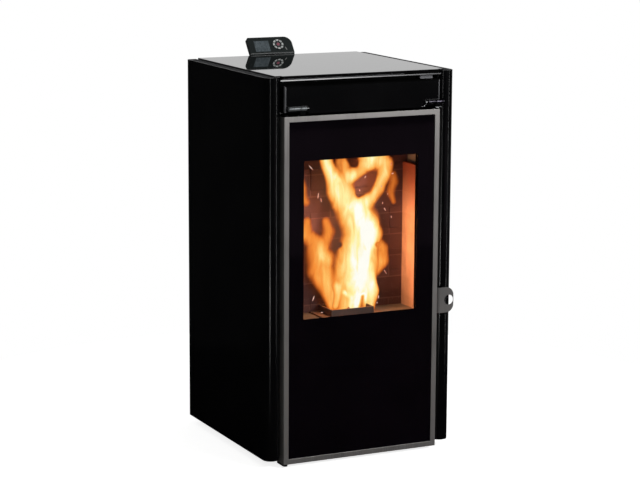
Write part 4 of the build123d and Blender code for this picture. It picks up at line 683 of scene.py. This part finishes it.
# ------------------------------------------------------------------ pieces
class STOVE_OT_case(bpy.types.Operator):
    """Side panels with their half-round columns"""

    bl_idname = "stove.case"
    bl_label = "Case"

    def execute(self, context):
        setting = context.scene.stove_case
        low, high = PANEL[2]
        for way, word in ((-1, "left"), (1, "right")):
            shape = bmesh.new()
            self.wall(shape, setting, way, low, high)
            self.end_plate(shape, setting, way, low, setting.sheet)
            self.end_plate(shape, setting, way, high, -setting.sheet)
            finishes = ["powder_coat_black", "end_plate_painted_light"]
            finish_piece(f"panel_{word}", shape, "stove", finishes, [f"side_panel_{word}"])
        return {"FINISHED"}

    def plan(self, shape, setting, way, z):
        """Column, side and rear flange as edges; returns the start, the rear corner and the flange's end."""
        inner, outer = [way * x for x in PANEL[0]]
        front, rear = PANEL[1]
        centre = (outer - way * setting.column / 2, front + setting.column / 2, z)
        start = shape.verts.new((inner, centre[1], z))
        spun = bmesh.ops.spin(shape, geom=[start], cent=centre, axis=(0, 0, way), angle=math.pi, steps=40)
        corner = shape.verts.new((outer, rear, z))
        tail = shape.verts.new((outer - way * setting.band, rear, z))
        shape.edges.new((picked(spun["geom_last"], BMVert)[0], corner))
        shape.edges.new((corner, tail))
        return start, corner, tail

    def wall(self, shape, setting, way, low, high):
        """Folded sheet: the plan with a leg behind the column, raised and thickened inwards."""
        start, corner, _ = self.plan(shape, setting, way, low)
        leg = shape.verts.new(start.co + Vector((0, setting.leg, 0)))
        shape.edges.new((leg, start))
        bevel(shape, [corner], setting.bend, 6, "VERTICES")
        wall = raise_edges(shape, list(shape.edges), (0, 0, high - low))
        bmesh.ops.recalc_face_normals(shape, faces=wall)
        side = max(wall, key=lambda f: f.calc_area())
        if side.normal.x * way < 0:
            bmesh.ops.reverse_faces(shape, faces=wall)
        bmesh.ops.solidify(shape, geom=wall, thickness=setting.sheet)

    def end_plate(self, shape, setting, way, z, thickness):
        """Plate that closes one end, with an eased rim; added to the panel's shape."""
        plate = bmesh.new()
        start, corner, tail = self.plan(plate, setting, way, z)
        inside = plate.verts.new((tail.co.x, start.co.y, z))
        plate.edges.new((tail, inside))
        plate.edges.new((inside, start))
        bevel(plate, [corner], setting.bend, 6, "VERTICES")
        face = bmesh.ops.contextual_create(plate, geom=plate.edges)["faces"]
        push_faces(plate, face, (0, 0, thickness))
        # flat top and bottom faces take the matte grey: painted light for the sheen a top face catches from
        # above
        for flat in plate.faces:
            flat.material_index = 1 if abs(flat.normal.z) > 0.9 else 0
        bevel(plate, edges_at(plate.edges, 2, z), setting.ease)
        mesh = bpy.data.meshes.new("plate")
        plate.to_mesh(mesh)
        plate.free()
        shape.from_mesh(mesh)
        bpy.data.meshes.remove(mesh)


class STOVE_OT_door(bpy.types.Operator):
    """Door border, printed and clear glass, sealing rope and the bent handle"""

    bl_idname = "stove.door"
    bl_label = "Door"

    def execute(self, context):
        setting = context.scene.stove_door
        self.border(setting)
        self.pane(setting)
        self.rope(setting)
        self.handle(setting)
        return {"FINISHED"}

    def border(self, setting):
        """Folded tray: the strip in front, four sides and a return at the back; painted shade in soot black
        on top.
        """
        front, rear = TRAY[1]
        sheet, strip = setting.sheet, setting.strip
        face = [(0, front), (strip, front), (strip, front + sheet), (sheet, front + sheet)]
        fold_back = [(sheet, rear - sheet), (strip, rear - sheet), (strip, rear), (0, rear)]
        shape = bmesh.new()
        mitred_frame(shape, face + fold_back, TRAY[0], TRAY[2])
        bmesh.ops.recalc_face_normals(shape, faces=shape.faces)
        top = TRAY[2][1] - 0.1 * MM
        # the top faces take the matte black: painted shade under the upper panel
        for side in shape.faces:
            side.material_index = 1 if side.calc_center_median().z > top else 0
        finishes = ["satin_steel_grey", "matte_black_painted_shade"]
        finish_piece("door_border", shape, "door", finishes, ["door_tray"], edge=0.6 * MM)

    def pane(self, setting):
        """Flat pane, cut along the edges of the window so that the print and the clear part meet there."""
        shape = bmesh.new()
        add_box(shape, *PANE)
        half = setting.window_width / 2
        x = (setting.window_x - half, setting.window_x + half)
        z = (setting.window_low, setting.window_high)
        for place, normal in [((v, 0, 0), (1, 0, 0)) for v in x] + [((0, 0, v), (0, 0, 1)) for v in z]:
            geom = [*shape.verts, *shape.edges, *shape.faces]
            bmesh.ops.bisect_plane(shape, geom=geom, plane_co=place, plane_no=normal)
        for face in shape.faces:
            middle = face.calc_center_median()
            face.material_index = 1 if x[0] < middle.x < x[1] and z[0] < middle.z < z[1] else 0
        finishes = ["glass_ceramic_print", "glass_ceramic_clear"]
        finish_piece("door_pane", shape, "door", finishes, ["door_glass"])

    def rope(self, setting):
        """Plaited rope with a flattened face, pressed into the channel behind the glass."""
        half, half_depth = setting.rope / 2, (SEAL[1][1] - SEAL[1][0]) / 2
        sides, squareness = 16, 0.75
        section = []
        for i in range(sides):
            turn = 2 * math.pi * (i + 0.5) / sides
            bulge = [math.copysign(abs(v) ** squareness, v) for v in (math.cos(turn), math.sin(turn))]
            section.append((half * (1 + bulge[0]), SEAL[1][0] + half_depth * (1 + bulge[1])))
        shape = bmesh.new()
        mitred_frame(shape, section, SEAL[0], SEAL[2])
        wrap = shape.loops.layers.uv.new("rope")
        middle_x, middle_z = sum(SEAL[0]) / 2, sum(SEAL[2]) / 2
        for face in shape.faces:
            centre = face.calc_center_median()
            across = abs(centre.x - middle_x) / (SEAL[0][1] - middle_x)
            upright = across > abs(centre.z - middle_z) / (SEAL[2][1] - middle_z)
            for loop in face.loops:
                x, y, z = loop.vert.co / MM
                loop[wrap].uv = (z, x + y) if upright else (x, z + y)
        finish_piece("rope_seal", shape, "door", ["glass_fibre_rope"], ["door_seal"], sharp=60)

    def handle(self, setting):
        """Plate with a finger hole, rounded outer corners and a leg bent back along the door's side."""
        root, tip = TAB[0]
        front, back = TAB[1]
        low, high = TAB[2]
        bend = setting.handle_bend
        start = root + bend
        shape = bmesh.new()
        corners = [(start, front, low), (tip, front, low), (tip, front, high), (start, front, high)]
        verts, _ = ring(shape, corners)
        bevel(shape, verts[1:3], setting.handle_corner, 12, "VERTICES")
        outline = list(shape.edges)
        middle = Matrix.Translation((setting.hole_x, front, (low + high) / 2))
        place = middle @ Matrix.Rotation(math.pi / 2, 4, "X")
        circle = bmesh.ops.create_circle(shape, segments=40, radius=setting.finger_hole / 2, matrix=place)
        hole = list({edge for vert in circle["verts"] for edge in vert.link_edges})
        bmesh.ops.bridge_loops(shape, edges=outline + hole)
        arc = {"cent": (start, front + bend, 0), "axis": (0, 0, -1), "angle": math.pi / 2, "steps": 8}
        spun = bmesh.ops.spin(shape, geom=edges_at(shape.edges, 0, start), **arc)["geom_last"]
        raise_edges(shape, picked(spun, BMEdge), (0, back - front - bend, 0))
        bmesh.ops.remove_doubles(shape, verts=shape.verts, dist=NEAR)
        bmesh.ops.recalc_face_normals(shape, faces=shape.faces)
        plate = max(shape.faces, key=lambda f: f.calc_center_median().x)
        if plate.normal.y > 0:
            bmesh.ops.reverse_faces(shape, faces=shape.faces)
        bmesh.ops.solidify(shape, geom=shape.faces, thickness=setting.sheet)
        nodes = ["door_handle"]
        finish_piece("handle_tab", shape, "door", ["blasted_steel"], nodes, edge=0.5 * MM)


class STOVE_OT_upper_panel(bpy.types.Operator):
    """Tilting upper panel with folded edges, and its two hinges handed alike"""

    bl_idname = "stove.upper_panel"
    bl_label = "Upper panel"

    def execute(self, context):
        setting = context.scene.stove_upper
        face_y = FLAP[1][1] - setting.fold
        self.panel(setting, face_y)
        # both barrels share one plating; the left copy is painted lit and the right copy painted shaded
        self.moving_half(setting, face_y, "left", setting.split_left, setting.cap, "nickel_painted_lit")
        self.fixed_half(setting, "left", setting.split_left, setting.cap, "nickel_painted_lit")
        self.moving_half(setting, face_y, "right", setting.split_right, 0, "nickel_painted_shaded")
        self.fixed_half(setting, "right", setting.split_right, 0, "nickel_painted_shaded")
        return {"FINISHED"}

    def panel(self, setting, face_y):
        """Hollow pressing: face, four folded edges and a notch over each hinge leg."""
        left, right = FLAP[0]
        rear = FLAP[1][1]
        low, high = FLAP[2]
        step = low + setting.notch
        inner_left, inner_right = setting.notch_left, setting.notch_right
        left_side = [(left, high), (left, step), (inner_left, step), (inner_left, low)]
        right_side = [(inner_right, low), (inner_right, step), (right, step), (right, high)]
        shape = bmesh.new()
        slab(shape, [(x, rear, z) for x, z in left_side + right_side], (0, face_y - rear, 0))
        bmesh.ops.recalc_face_normals(shape, faces=shape.faces)
        back = max(shape.faces, key=lambda f: f.calc_center_median().y)
        bmesh.ops.inset_region(shape, faces=[back], thickness=setting.sheet, use_even_offset=True)
        push_faces(shape, [back], (0, setting.sheet - setting.fold, 0))
        bmesh.ops.delete(shape, geom=[back], context="FACES_ONLY")
        ends = edges_at(edges_at(shape.edges, 1, face_y), 0, left, right)
        # the rounded ends take the pale coat: a painted highlight along the panel's folded ends
        for face in bevel(shape, ends, setting.bend, 8):
            face.material_index = 1
        front = edges_at(shape.edges, 1, face_y)
        level = [e for e in front if abs(e.verts[0].co.z - e.verts[1].co.z) < NEAR]
        bevel(shape, level, setting.ease, 4)
        bmesh.ops.recalc_face_normals(shape, faces=shape.faces)
        # faces that look up take the matte black: painted shade under the lid's overhang
        for face in shape.faces:
            if face.normal.z > 0.02:
                face.material_index = 2
        finishes = ["powder_coat_black", "painted_edge_highlight", "matte_black_painted_shade"]
        finish_piece("upper_panel", shape, "flap", finishes, ["flap_panel"])

    def moving_half(self, setting, face_y, word, split, cap, finish):
        """Left half of a barrel, which swings with the panel, and the tongue that joins them."""
        y, z = setting.axis_y, setting.axis_z
        end = split - setting.half
        run = setting.half - setting.gap + cap
        tongue_low, tongue_high = 4.8 * MM, 1.8 * MM
        shape = bmesh.new()
        add_rod(shape, (end - cap, y, z), (run, 0, 0), setting.barrel, round_off=0.7 * MM)
        add_box(shape, (end, split - setting.gap), (y, face_y), (z - tongue_low, z - tongue_high))
        name = f"panel_barrel_{word}"
        finish_piece(name, shape, "flap", [finish], edge=0.3 * MM, segments=2)

    def fixed_half(self, setting, word, split, cap, finish):
        """Right half of a barrel; where no cap hides them, also the pin, its ball and the spring's end."""
        y, z = setting.axis_y, setting.axis_z
        run = setting.half - setting.gap - cap / 2
        radius = setting.barrel + 0.1 * MM
        shape = bmesh.new()
        add_rod(shape, (split + setting.gap, y, z), (run, 0, 0), radius, round_off=0.7 * MM)
        if not cap:
            barrel = set(shape.faces)
            tip = Vector((split - setting.half - setting.ball_reach, y, z))
            add_rod(shape, tip, (setting.ball_reach, 0, 0), setting.pin, 16)
            ball = {"radius": setting.ball, "matrix": Matrix.Translation(tip)}
            bmesh.ops.create_uvsphere(shape, u_segments=20, v_segments=14, **ball)
            hook = [(0, -1, -3), (-3, -1, -8), (-8, -1, -11), (-14, -1, -10)]
            bends = [tip + Vector(step) * MM for step in hook]
            for start, end in zip(bends, bends[1:]):
                add_rod(shape, start, end - start, 0.7 * MM, 12, 0.2 * MM)
            # bright wire clip under the hinge leg
            wire = Vector((split, y, z)) + Vector((-2, -0.5, -13.4)) * MM
            add_rod(shape, wire, (18 * MM, 0, 0), 0.9 * MM, 12, 0.3 * MM)
            for face in set(shape.faces) - barrel:
                face.material_index = 1
        finish_piece(f"frame_barrel_{word}", shape, "stove", [finish, "bright_steel"])


class STOVE_OT_lid(bpy.types.Operator):
    """Black glass lid with its ground edge, the steel tray under it and the bead on the tray's lip"""

    bl_idname = "stove.lid"
    bl_label = "Lid"

    def execute(self, context):
        setting = context.scene.stove_lid
        self.pane(setting)
        self.bead(setting)
        # the tray takes the matte black, which also paints the shade under the glass
        coat_node("lid_tray", "matte_black_painted_shade")
        return {"FINISHED"}

    def pane(self, setting):
        """Glass: full width behind, and a tongue between the column heads."""
        wide, tongue = LID[0][1], setting.tongue
        front, rear = LID[1]
        low, high = LID[2]
        step = front + setting.notch
        right_side = [(tongue, front), (tongue, step), (wide, step), (wide, rear)]
        left_side = [(-x, y) for x, y in reversed(right_side)]
        shape = bmesh.new()
        slab(shape, [(x, y, low) for x, y in left_side + right_side], (0, 0, high - low))
        bevel(shape, edges_at(shape.edges, 2, high), setting.chamfer)
        finish_piece("lid_pane", shape, "lid", ["lid_glass_black"], ["lid_glass"], sharp=20)

    def bead(self, setting):
        """Bead along the lip, coloured as a painted highlight, and a rolled hem just under the glass with a
        painted edge highlight.
        """
        reach = LID_FRAME[0][1] - 10 * MM
        front, top = LID_FRAME[1][0] + 0.4 * MM, LID_FRAME[2][1]
        shape = bmesh.new()
        start = (-reach, front, top - setting.bead_drop)
        add_rod(shape, start, (2 * reach, 0, 0), setting.bead, 24, 0.4 * MM)
        bar = set(shape.faces)
        start = (6 * MM - reach, front, top - setting.hem_drop)
        add_rod(shape, start, (1.5 * reach, 0, 0), setting.hem, 12)
        for face in set(shape.faces) - bar:
            face.material_index = 1
        finish_piece("lid_bead", shape, "lid", ["polished_bead", "painted_edge_highlight"])


class STOVE_OT_display(bpy.types.Operator):
    """Control display: housing, screen, the round keypad and a small lamp beside it"""

    bl_idname = "stove.display"
    bl_label = "Display"

    def execute(self, context):
        coat_node("display_housing", "abs_dark")
        coat_node("display_screen", "liquid_crystal")
        coat_node("display_bracket", "powder_coat_black")
        for word in ("right", "up", "left", "down", "power"):
            coat_node(f"key_{word}", "keypad_print")
        right = Vector((1, 0, 0))
        outward = right.cross(DISPLAY_UP)
        start = Vector(KEYPAD) + (16.8 * right - 9 * DISPLAY_UP + 0.9 * outward) * MM
        lamp = bmesh.new()
        add_rod(lamp, start, (3.2 * right - 7.5 * DISPLAY_UP) * MM, 0.9 * MM, 12, 0.4 * MM)
        finish_piece("display_lamp", lamp, "display", ["translucent_keys"])
        return {"FINISHED"}


# A flame stroke is a line of (x, z, radius) points in millimetres, its heat from 0 to 1 and its depth
MAIN_STROKES = [
    ([(21, 354, 39), (21, 388, 43), (18, 423, 48), (22, 457, 51), (29, 490, 48), (38, 523, 45),
      (34, 554, 45), (15, 586, 39), (-7, 614, 31), (-26, 643, 25), (-41, 674, 20), (-52, 698, 16),
      (-58, 725, 15)], 0.78, 0),
    ([(36, 370, 20), (43, 421, 27), (44, 455, 32), (46, 489, 32), (53, 522, 31), (53, 549, 24),
      (30, 585, 16)], 0.9, -6),
    ([(37, 600, 18), (71, 614, 16), (93, 635, 17), (102, 665, 17), (104, 692, 19), (81, 708, 28),
      (55, 712, 23)], 0.66, 10),
    ([(14, 667, 14), (37, 679, 14), (63, 697, 16)], 0.6, 8),
    ([(-4, 700, 20), (0, 668, 22), (11, 636, 18)], 0.42, 14),
    ([(58, 426, 12), (66, 391, 11), (67, 350, 9)], 0.6, -10),
    ([(-28, 406, 11), (-30, 362, 9)], 0.55, -8),
    ([(-9, 391, 5), (13, 375, 5), (32, 391, 5), (39, 424, 5)], 0.75, -12),
]
# A hole is a line of the same points and how much heat it takes away
MAIN_HOLES = [
    ([(33, 625, 9), (56, 644, 19), (70, 657, 12)], 1.0),
    ([(18, 712, 12), (25, 698, 9)], 1.0),
    ([(-29, 505, 9), (-18, 507, 6)], 0.8),
    ([(82, 500, 6)], 0.7),
    ([(43, 376, 5), (42, 352, 8)], 0.7),
]
REAR_STROKES = [
    ([(-95, 565, 11), (-101, 534, 18), (-80, 515, 19), (-67, 481, 27), (-64, 447, 28), (-47, 408, 24),
      (-26, 365, 16)], 0.4, 0),
    ([(-48, 470, 16), (-38, 430, 22), (-22, 390, 24), (-10, 355, 24)], 0.3, 4),
    ([(-42, 560, 11), (-38, 536, 17), (-47, 513, 17), (-50, 490, 17), (-36, 475, 18)], 0.36, 6),
    ([(87, 509, 11), (106, 484, 17), (104, 457, 18), (84, 436, 15)], 0.42, -4),
    ([(-120, 668, 13), (-106, 640, 15), (-92, 610, 11)], 0.34, 10),
    ([(134, 662, 11), (142, 640, 15), (137, 618, 13), (141, 596, 8)], 0.24, 12),
]
# A spark is its place and length in millimetres and its lean in degrees
SPARKS = [
    (-100, 698, 16, -42), (-75, 628, 14, 8), (-79, 622, 10, -12), (-92, 385, 13, 22), (102, 584, 9, -30),
    (107, 569, 6, -8), (103, 623, 4, 0), (105, 431, 12, -35), (75, 377, 8, 5), (116, 671, 6, 70),
    (118, 693, 8, 25), (83, 604, 5, 10), (43, 667, 6, 30), (34, 634, 5, -20), (71, 363, 4, 0),
    (-69, 349, 5, 80), (92, 640, 4, 15),
]
SHEET_X = (-150 * MM, 160 * MM)
SHEET_Z = (344 * MM, 760 * MM)
REAR_STEP = 18 * MM  # from the front sheet of flames to the rear one
STROKE_REACH = 1.4  # how far a stroke's soft rim goes, as a share of its radius
COLDEST = 0.02  # heat below which a sheet is cut away
HEAP_X, HEAP_Y = 46 * MM, 24 * MM
HEAP_FOOT, HEAP_RISE, HEAP_PEAK = 318 * MM, 22 * MM, 8 * MM
GOLDEN_TURN = math.pi * (3 - math.sqrt(5))
LIGHT_STEP = 20 * MM  # from the front sheet of flames forward to the lights
# A fire light is its name, place across and up, and share of the glow
FIRE_LIGHTS = [("fire_light_low", 0.02, 0.49, 0.66), ("fire_light_high", 0.0, 0.61, 0.36)]


class STOVE_OT_fire(bpy.types.Operator):
    """Flames over the burn pot, burning pellets, sparks and the light they give"""

    bl_idname = "stove.fire"
    bl_label = "Fire"

    def execute(self, context):
        setting = context.scene.stove_fire
        self.sheet("flame_front", POT_Y, MAIN_STROKES, MAIN_HOLES, "flame_core", setting.rows)
        self.sheet("flame_rear", POT_Y + REAR_STEP, REAR_STROKES, [], "flame_tongue", setting.rows)
        self.fuel(setting)
        self.sparks()
        for name, x, z, share in FIRE_LIGHTS:
            place = (x, POT_Y - LIGHT_STEP, z)
            add_lamp(name, "POINT", place, setting.glow * share, setting.tint, shadow_soft_size=0.04)
        return {"FINISHED"}

    def field(self, x, z, strokes):
        """Heat, from 0 to 1, and depth at points of a sheet, painted with soft strokes."""
        cold = np.ones_like(x)
        weight = np.full_like(x, 1e-4)
        depth = np.zeros_like(x)
        for line, heat, back in strokes:
            best = np.zeros_like(x)
            pairs = zip(line, line[1:]) if len(line) > 1 else [(line[0], line[0])]
            for (x0, z0, r0), (x1, z1, r1) in pairs:
                run = max((x1 - x0) ** 2 + (z1 - z0) ** 2, 1e-6)
                t = np.clip(((x - x0) * (x1 - x0) + (z - z0) * (z1 - z0)) / run, 0, 1)
                gap = np.hypot(x - x0 - t * (x1 - x0), z - z0 - t * (z1 - z0))
                reach = (r0 + t * (r1 - r0)) * STROKE_REACH
                best = np.maximum(best, np.clip(1 - (gap / reach) ** 2, 0, 1) ** 1.25)
            cold = cold * (1 - best * heat)
            weight = weight + best
            depth = depth + best * back
        return 1 - cold, depth / weight

    def sheet(self, name, depth, strokes, holes, finish, rows):
        """Gently waved sheet with heat on its corners; the cold parts are cut away."""
        size = Matrix.Diagonal((SHEET_X[1] - SHEET_X[0], SHEET_Z[1] - SHEET_Z[0], 1, 1))
        middle = Matrix.Translation((sum(SHEET_X) / 2, depth, sum(SHEET_Z) / 2))
        place = middle @ Matrix.Rotation(math.pi / 2, 4, "X") @ size
        shape = bmesh.new()
        bmesh.ops.create_grid(shape, x_segments=int(rows * 0.75), y_segments=rows, size=0.5, matrix=place)
        x, _, z = np.array([v.co[:] for v in shape.verts]).T / MM
        sway = 2.5 * np.sin(z / 23) + 1.5 * np.sin(z / 11 + 1)
        heat, back = self.field(x + sway, z, strokes)
        for line, strength in holes:
            gone, _ = self.field(x, z, [(line, strength, 0)])
            heat = heat * (1 - gone)
        layer = shape.verts.layers.float.new("burning")
        for vert, h, d in zip(shape.verts, heat, back):
            vert[layer] = h
            vert.co.y += d * MM + 4 * MM * math.sin(vert.co.z * 38 + vert.co.x * 20)
        cold = [f for f in shape.faces if max(v[layer] for v in f.verts) < COLDEST]
        bmesh.ops.delete(shape, geom=cold, context="FACES")
        finish_piece(name, shape, "stove", [finish], sharp=180)

    def fuel(self, setting):
        """Heap of burning pellets, laid in the pot at angles that repeat."""
        shape = bmesh.new()
        ends = {"radius1": setting.pellet, "radius2": setting.pellet, "cap_ends": True}
        for i in range(setting.pellets):
            reach = math.sqrt((i * 0.618) % 1.0)
            turn = i * GOLDEN_TURN
            x = HEAP_X * reach * math.cos(turn)
            y = POT_Y + HEAP_Y * reach * math.sin(turn)
            z = HEAP_FOOT + HEAP_RISE * i / setting.pellets + HEAP_PEAK * (1 - reach)
            lean = math.pi / 2 + 0.5 * math.sin(turn * 2.3)
            place = Matrix.Translation((x, y, z)) @ Matrix.Rotation(turn * 1.7, 4, "Z")
            place = place @ Matrix.Rotation(lean, 4, "X")
            run = (12 + 6 * math.sin(i * 1.3)) * MM
            bmesh.ops.create_cone(shape, segments=10, depth=run, matrix=place, **ends)
        finish_piece("burning_pellets", shape, "stove", ["glowing_fuel"])

    def sparks(self):
        """Thin streaks that taper to both ends, a little in front of the fire."""
        shape = bmesh.new()
        for i, (x, z, run, lean) in enumerate(SPARKS):
            y = POT_Y - 10 * MM + 14 * MM * math.sin(i * 2.1)
            place = Matrix.Translation((x * MM, y, z * MM)) @ Matrix.Rotation(math.radians(lean), 4, "Y")
            place = place @ Matrix.Diagonal((1 * MM, 1 * MM, run * MM / 2, 1))
            bmesh.ops.create_icosphere(shape, subdivisions=2, radius=1, matrix=place)
        finish_piece("sparks", shape, "stove", ["flying_spark"], sharp=180)


CARRIED = {
    "matte_black_painted_shade": ["face_frame"],
    "powder_coat_black": [
        "base_plate", "top_deck", "door_liner", "flap_hinges", "rear_panel", "lid_hinges", "door_hinges",
    ],
    "zinc_plate": [
        "rear_frame", "hopper", "exhaust_fan_housing", "blower_housing", "blower_wheel", "smoke_duct",
        "air_duct", "control_board_box", "glass_clips", "flue_spigot", "air_inlet_pipe", "ash_pan",
    ],
    "bright_steel": ["case_screws", "door_magnets", "exhaust_fan_wheel", "auger_screw", "igniter"],
    "chamber_steel": ["firebox_shell", "heat_exchanger_tubes"],
    "heat_steel": ["baffle_plate", "auger_tube"],
    "blasted_dull": ["lid_catch"],
    "cast_iron": ["burn_pot", "exhaust_fan_motor", "blower_motor", "auger_gearmotor"],
    "fire_brick_wall": ["back_lining"],
    "fire_brick_side": ["side_lining_left", "side_lining_right"],
    "black_rubber": [
        "power_inlet", "power_rocker", "foot_front_left", "foot_front_right", "foot_rear_left",
        "foot_rear_right",
    ],
}


class STOVE_OT_inside(bpy.types.Operator):
    """Finishes for the nodes that are carried over from the frame"""

    bl_idname = "stove.inside"
    bl_label = "Inside"

    def execute(self, context):
        for finish, names in CARRIED.items():
            for name in names:
                coat_node(name, finish)
        return {"FINISHED"}


AIM = Vector((0, 0, 0.5))  # the lamps shine on the middle of the stove
# A lamp is its name, place, width and height, and the share of its setting's power
SOFT_LAMPS = [
    ("key", (1.0, -2.2, 1.5), 0.7, 0.7, 1.0),
    ("strip_left", (-1.9, -2.7, 0.6), 0.06, 2.2, 0.55),
    ("strip_low", (-1.93, -2.7, -0.2), 0.1, 0.4, 0.4),
    ("strip_right", (2.2, -2.0, 0.7), 0.06, 2.2, 0.8),
]
CARDS = [
    ("card_wide", (0.55, -1.25, 0.47), 0.7, 0.36, 0.042),
    ("card_top", (0.55, -1.25, 0.57), 0.6, 0.16, 0.010),
]
CARD_ROSE = linear("FFDDF3")[:3]
CAMERA_PLACE = (-2.2282, -4.6293, 1.4455)
CAMERA_HEADING, CAMERA_DOWN, CAMERA_ROLL = -25.834, 10.56, 0.306


class STOVE_OT_studio(bpy.types.Operator):
    """Pale floor, white surroundings, soft lights and the camera"""

    bl_idname = "stove.studio"
    bl_label = "Studio"

    def execute(self, context):
        setting = context.scene.stove_studio
        self.floor(context.scene, setting)
        self.surroundings(context.scene, setting)
        self.lamps(setting)
        self.camera(context.scene, setting)
        context.scene.view_settings.view_transform = "Standard"
        return {"FINISHED"}

    def floor(self, scene, setting):
        """Round white card under the stove."""
        shape = bmesh.new()
        bmesh.ops.create_circle(shape, cap_ends=True, segments=96, radius=setting.floor)
        mesh = bpy.data.meshes.new("floor")
        shape.to_mesh(mesh)
        shape.free()
        mesh.materials.append(FINISHES["studio_floor"])
        floor = bpy.data.objects.new("floor", mesh)
        scene.collection.objects.link(floor)

    def surroundings(self, scene, setting):
        """White to the camera; to shiny surfaces, a white backdrop behind the stove in a dim room."""
        world = bpy.data.worlds.new("studio")
        world.use_nodes = True
        scene.world = world
        tree = world.node_tree
        tree.nodes.clear()
        add = partial(add_node, tree)
        way = add("TexCoord").outputs["Generated"]
        behind = Vector((0.42, 0.88, 0.2)).normalized()
        facing = add("VectorMath", {0: way, 1: behind}, operation="DOT_PRODUCT")
        rim = {"Value": facing, "From Min": 0.72, "From Max": 0.86, "To Min": 0.004, "To Max": 0.84}
        backdrop = add("MapRange", rim, interpolation_type=SMOOTH)
        ray = add("LightPath").outputs
        seen = add("Math", {0: ray[CAMERA_RAY], 1: ray[TRANSMISSION_RAY]}, operation="MAXIMUM")
        sky = add("Background", {"Color": WHITE, "Strength": setting.fill})
        card = add("Background", {"Color": WHITE, "Strength": backdrop})
        white = add("Background", {"Color": WHITE, "Strength": 1.0})
        shiny = add("MixShader", {"Fac": ray[GLOSSY_RAY], 1: sky, 2: card})
        final = add("MixShader", {"Fac": seen, 1: shiny, 2: white})
        add("OutputWorld", {"Surface": final})

    def lamps(self, setting):
        """Soft key from the front right and above, strips at both sides, and faint rosy cards in front."""
        panel = {"kind": "AREA", "shape": "RECTANGLE"}
        for name, place, wide, high, share in SOFT_LAMPS:
            whole = setting.key_power if name == "key" else setting.strip_power
            aim = AIM - Vector(place)
            add_lamp(name, place=place, power=whole * share, aim=aim, size=wide, size_y=high, **panel)
        for name, place, wide, high, watts in CARDS:
            ahead = {"colour": CARD_ROSE, "aim": (0, 1, 0)}
            add_lamp(name, place=place, power=watts, size=wide, size_y=high, **ahead, **panel)

    def camera(self, scene, setting):
        """Long lens from the front left, a little above the lid."""
        lens = bpy.data.cameras.new("camera")
        lens.lens = setting.lens
        holder = bpy.data.objects.new("camera", lens)
        heading = Matrix.Rotation(math.radians(CAMERA_HEADING), 4, "Z")
        down = Matrix.Rotation(math.radians(90 - CAMERA_DOWN), 4, "X")
        roll = Matrix.Rotation(math.radians(CAMERA_ROLL), 4, "Z")
        holder.matrix_world = Matrix.Translation(CAMERA_PLACE) @ heading @ down @ roll
        scene.collection.objects.link(holder)
        scene.camera = holder


class STOVE_PT_panel(bpy.types.Panel):
    """Lists the steps that dress the stove"""

    bl_label = "Pellet stove"
    bl_idname = "STOVE_PT_panel"
    bl_space_type = "VIEW_3D"
    bl_region_type = "UI"
    bl_category = "Stove"

    def draw(self, context):
        for step in STEPS:
            self.layout.operator(step.bl_idname)
        for group in GROUPS:
            settings = getattr(context.scene, group)
            for name in settings.bl_rna.properties.keys():
                if name not in ("rna_type", "name"):
                    self.layout.prop(settings, name)


GROUPS = {
    "stove_case": CaseSettings,
    "stove_door": DoorSettings,
    "stove_upper": UpperSettings,
    "stove_lid": LidSettings,
    "stove_fire": FireSettings,
    "stove_studio": StudioSettings,
}
STEPS = [
    STOVE_OT_case,
    STOVE_OT_door,
    STOVE_OT_upper_panel,
    STOVE_OT_lid,
    STOVE_OT_display,
    STOVE_OT_inside,
    STOVE_OT_fire,
    STOVE_OT_studio,
]


def register():
    for kind in (*GROUPS.values(), *STEPS, STOVE_PT_panel):
        bpy.utils.register_class(kind)
    for name, group in GROUPS.items():
        setattr(bpy.types.Scene, name, PointerProperty(type=group))


def unregister():
    for name in GROUPS:
        delattr(bpy.types.Scene, name)
    for kind in (STOVE_PT_panel, *reversed(STEPS), *GROUPS.values()):
        bpy.utils.unregister_class(kind)


def main():
    """Register, then dress the stove step by step."""
    register()
    make_finishes()
    for step in STEPS:
        group, name = step.bl_idname.split(".")
        getattr(getattr(bpy.ops, group), name)()


if __name__ == "__main__":
    main()
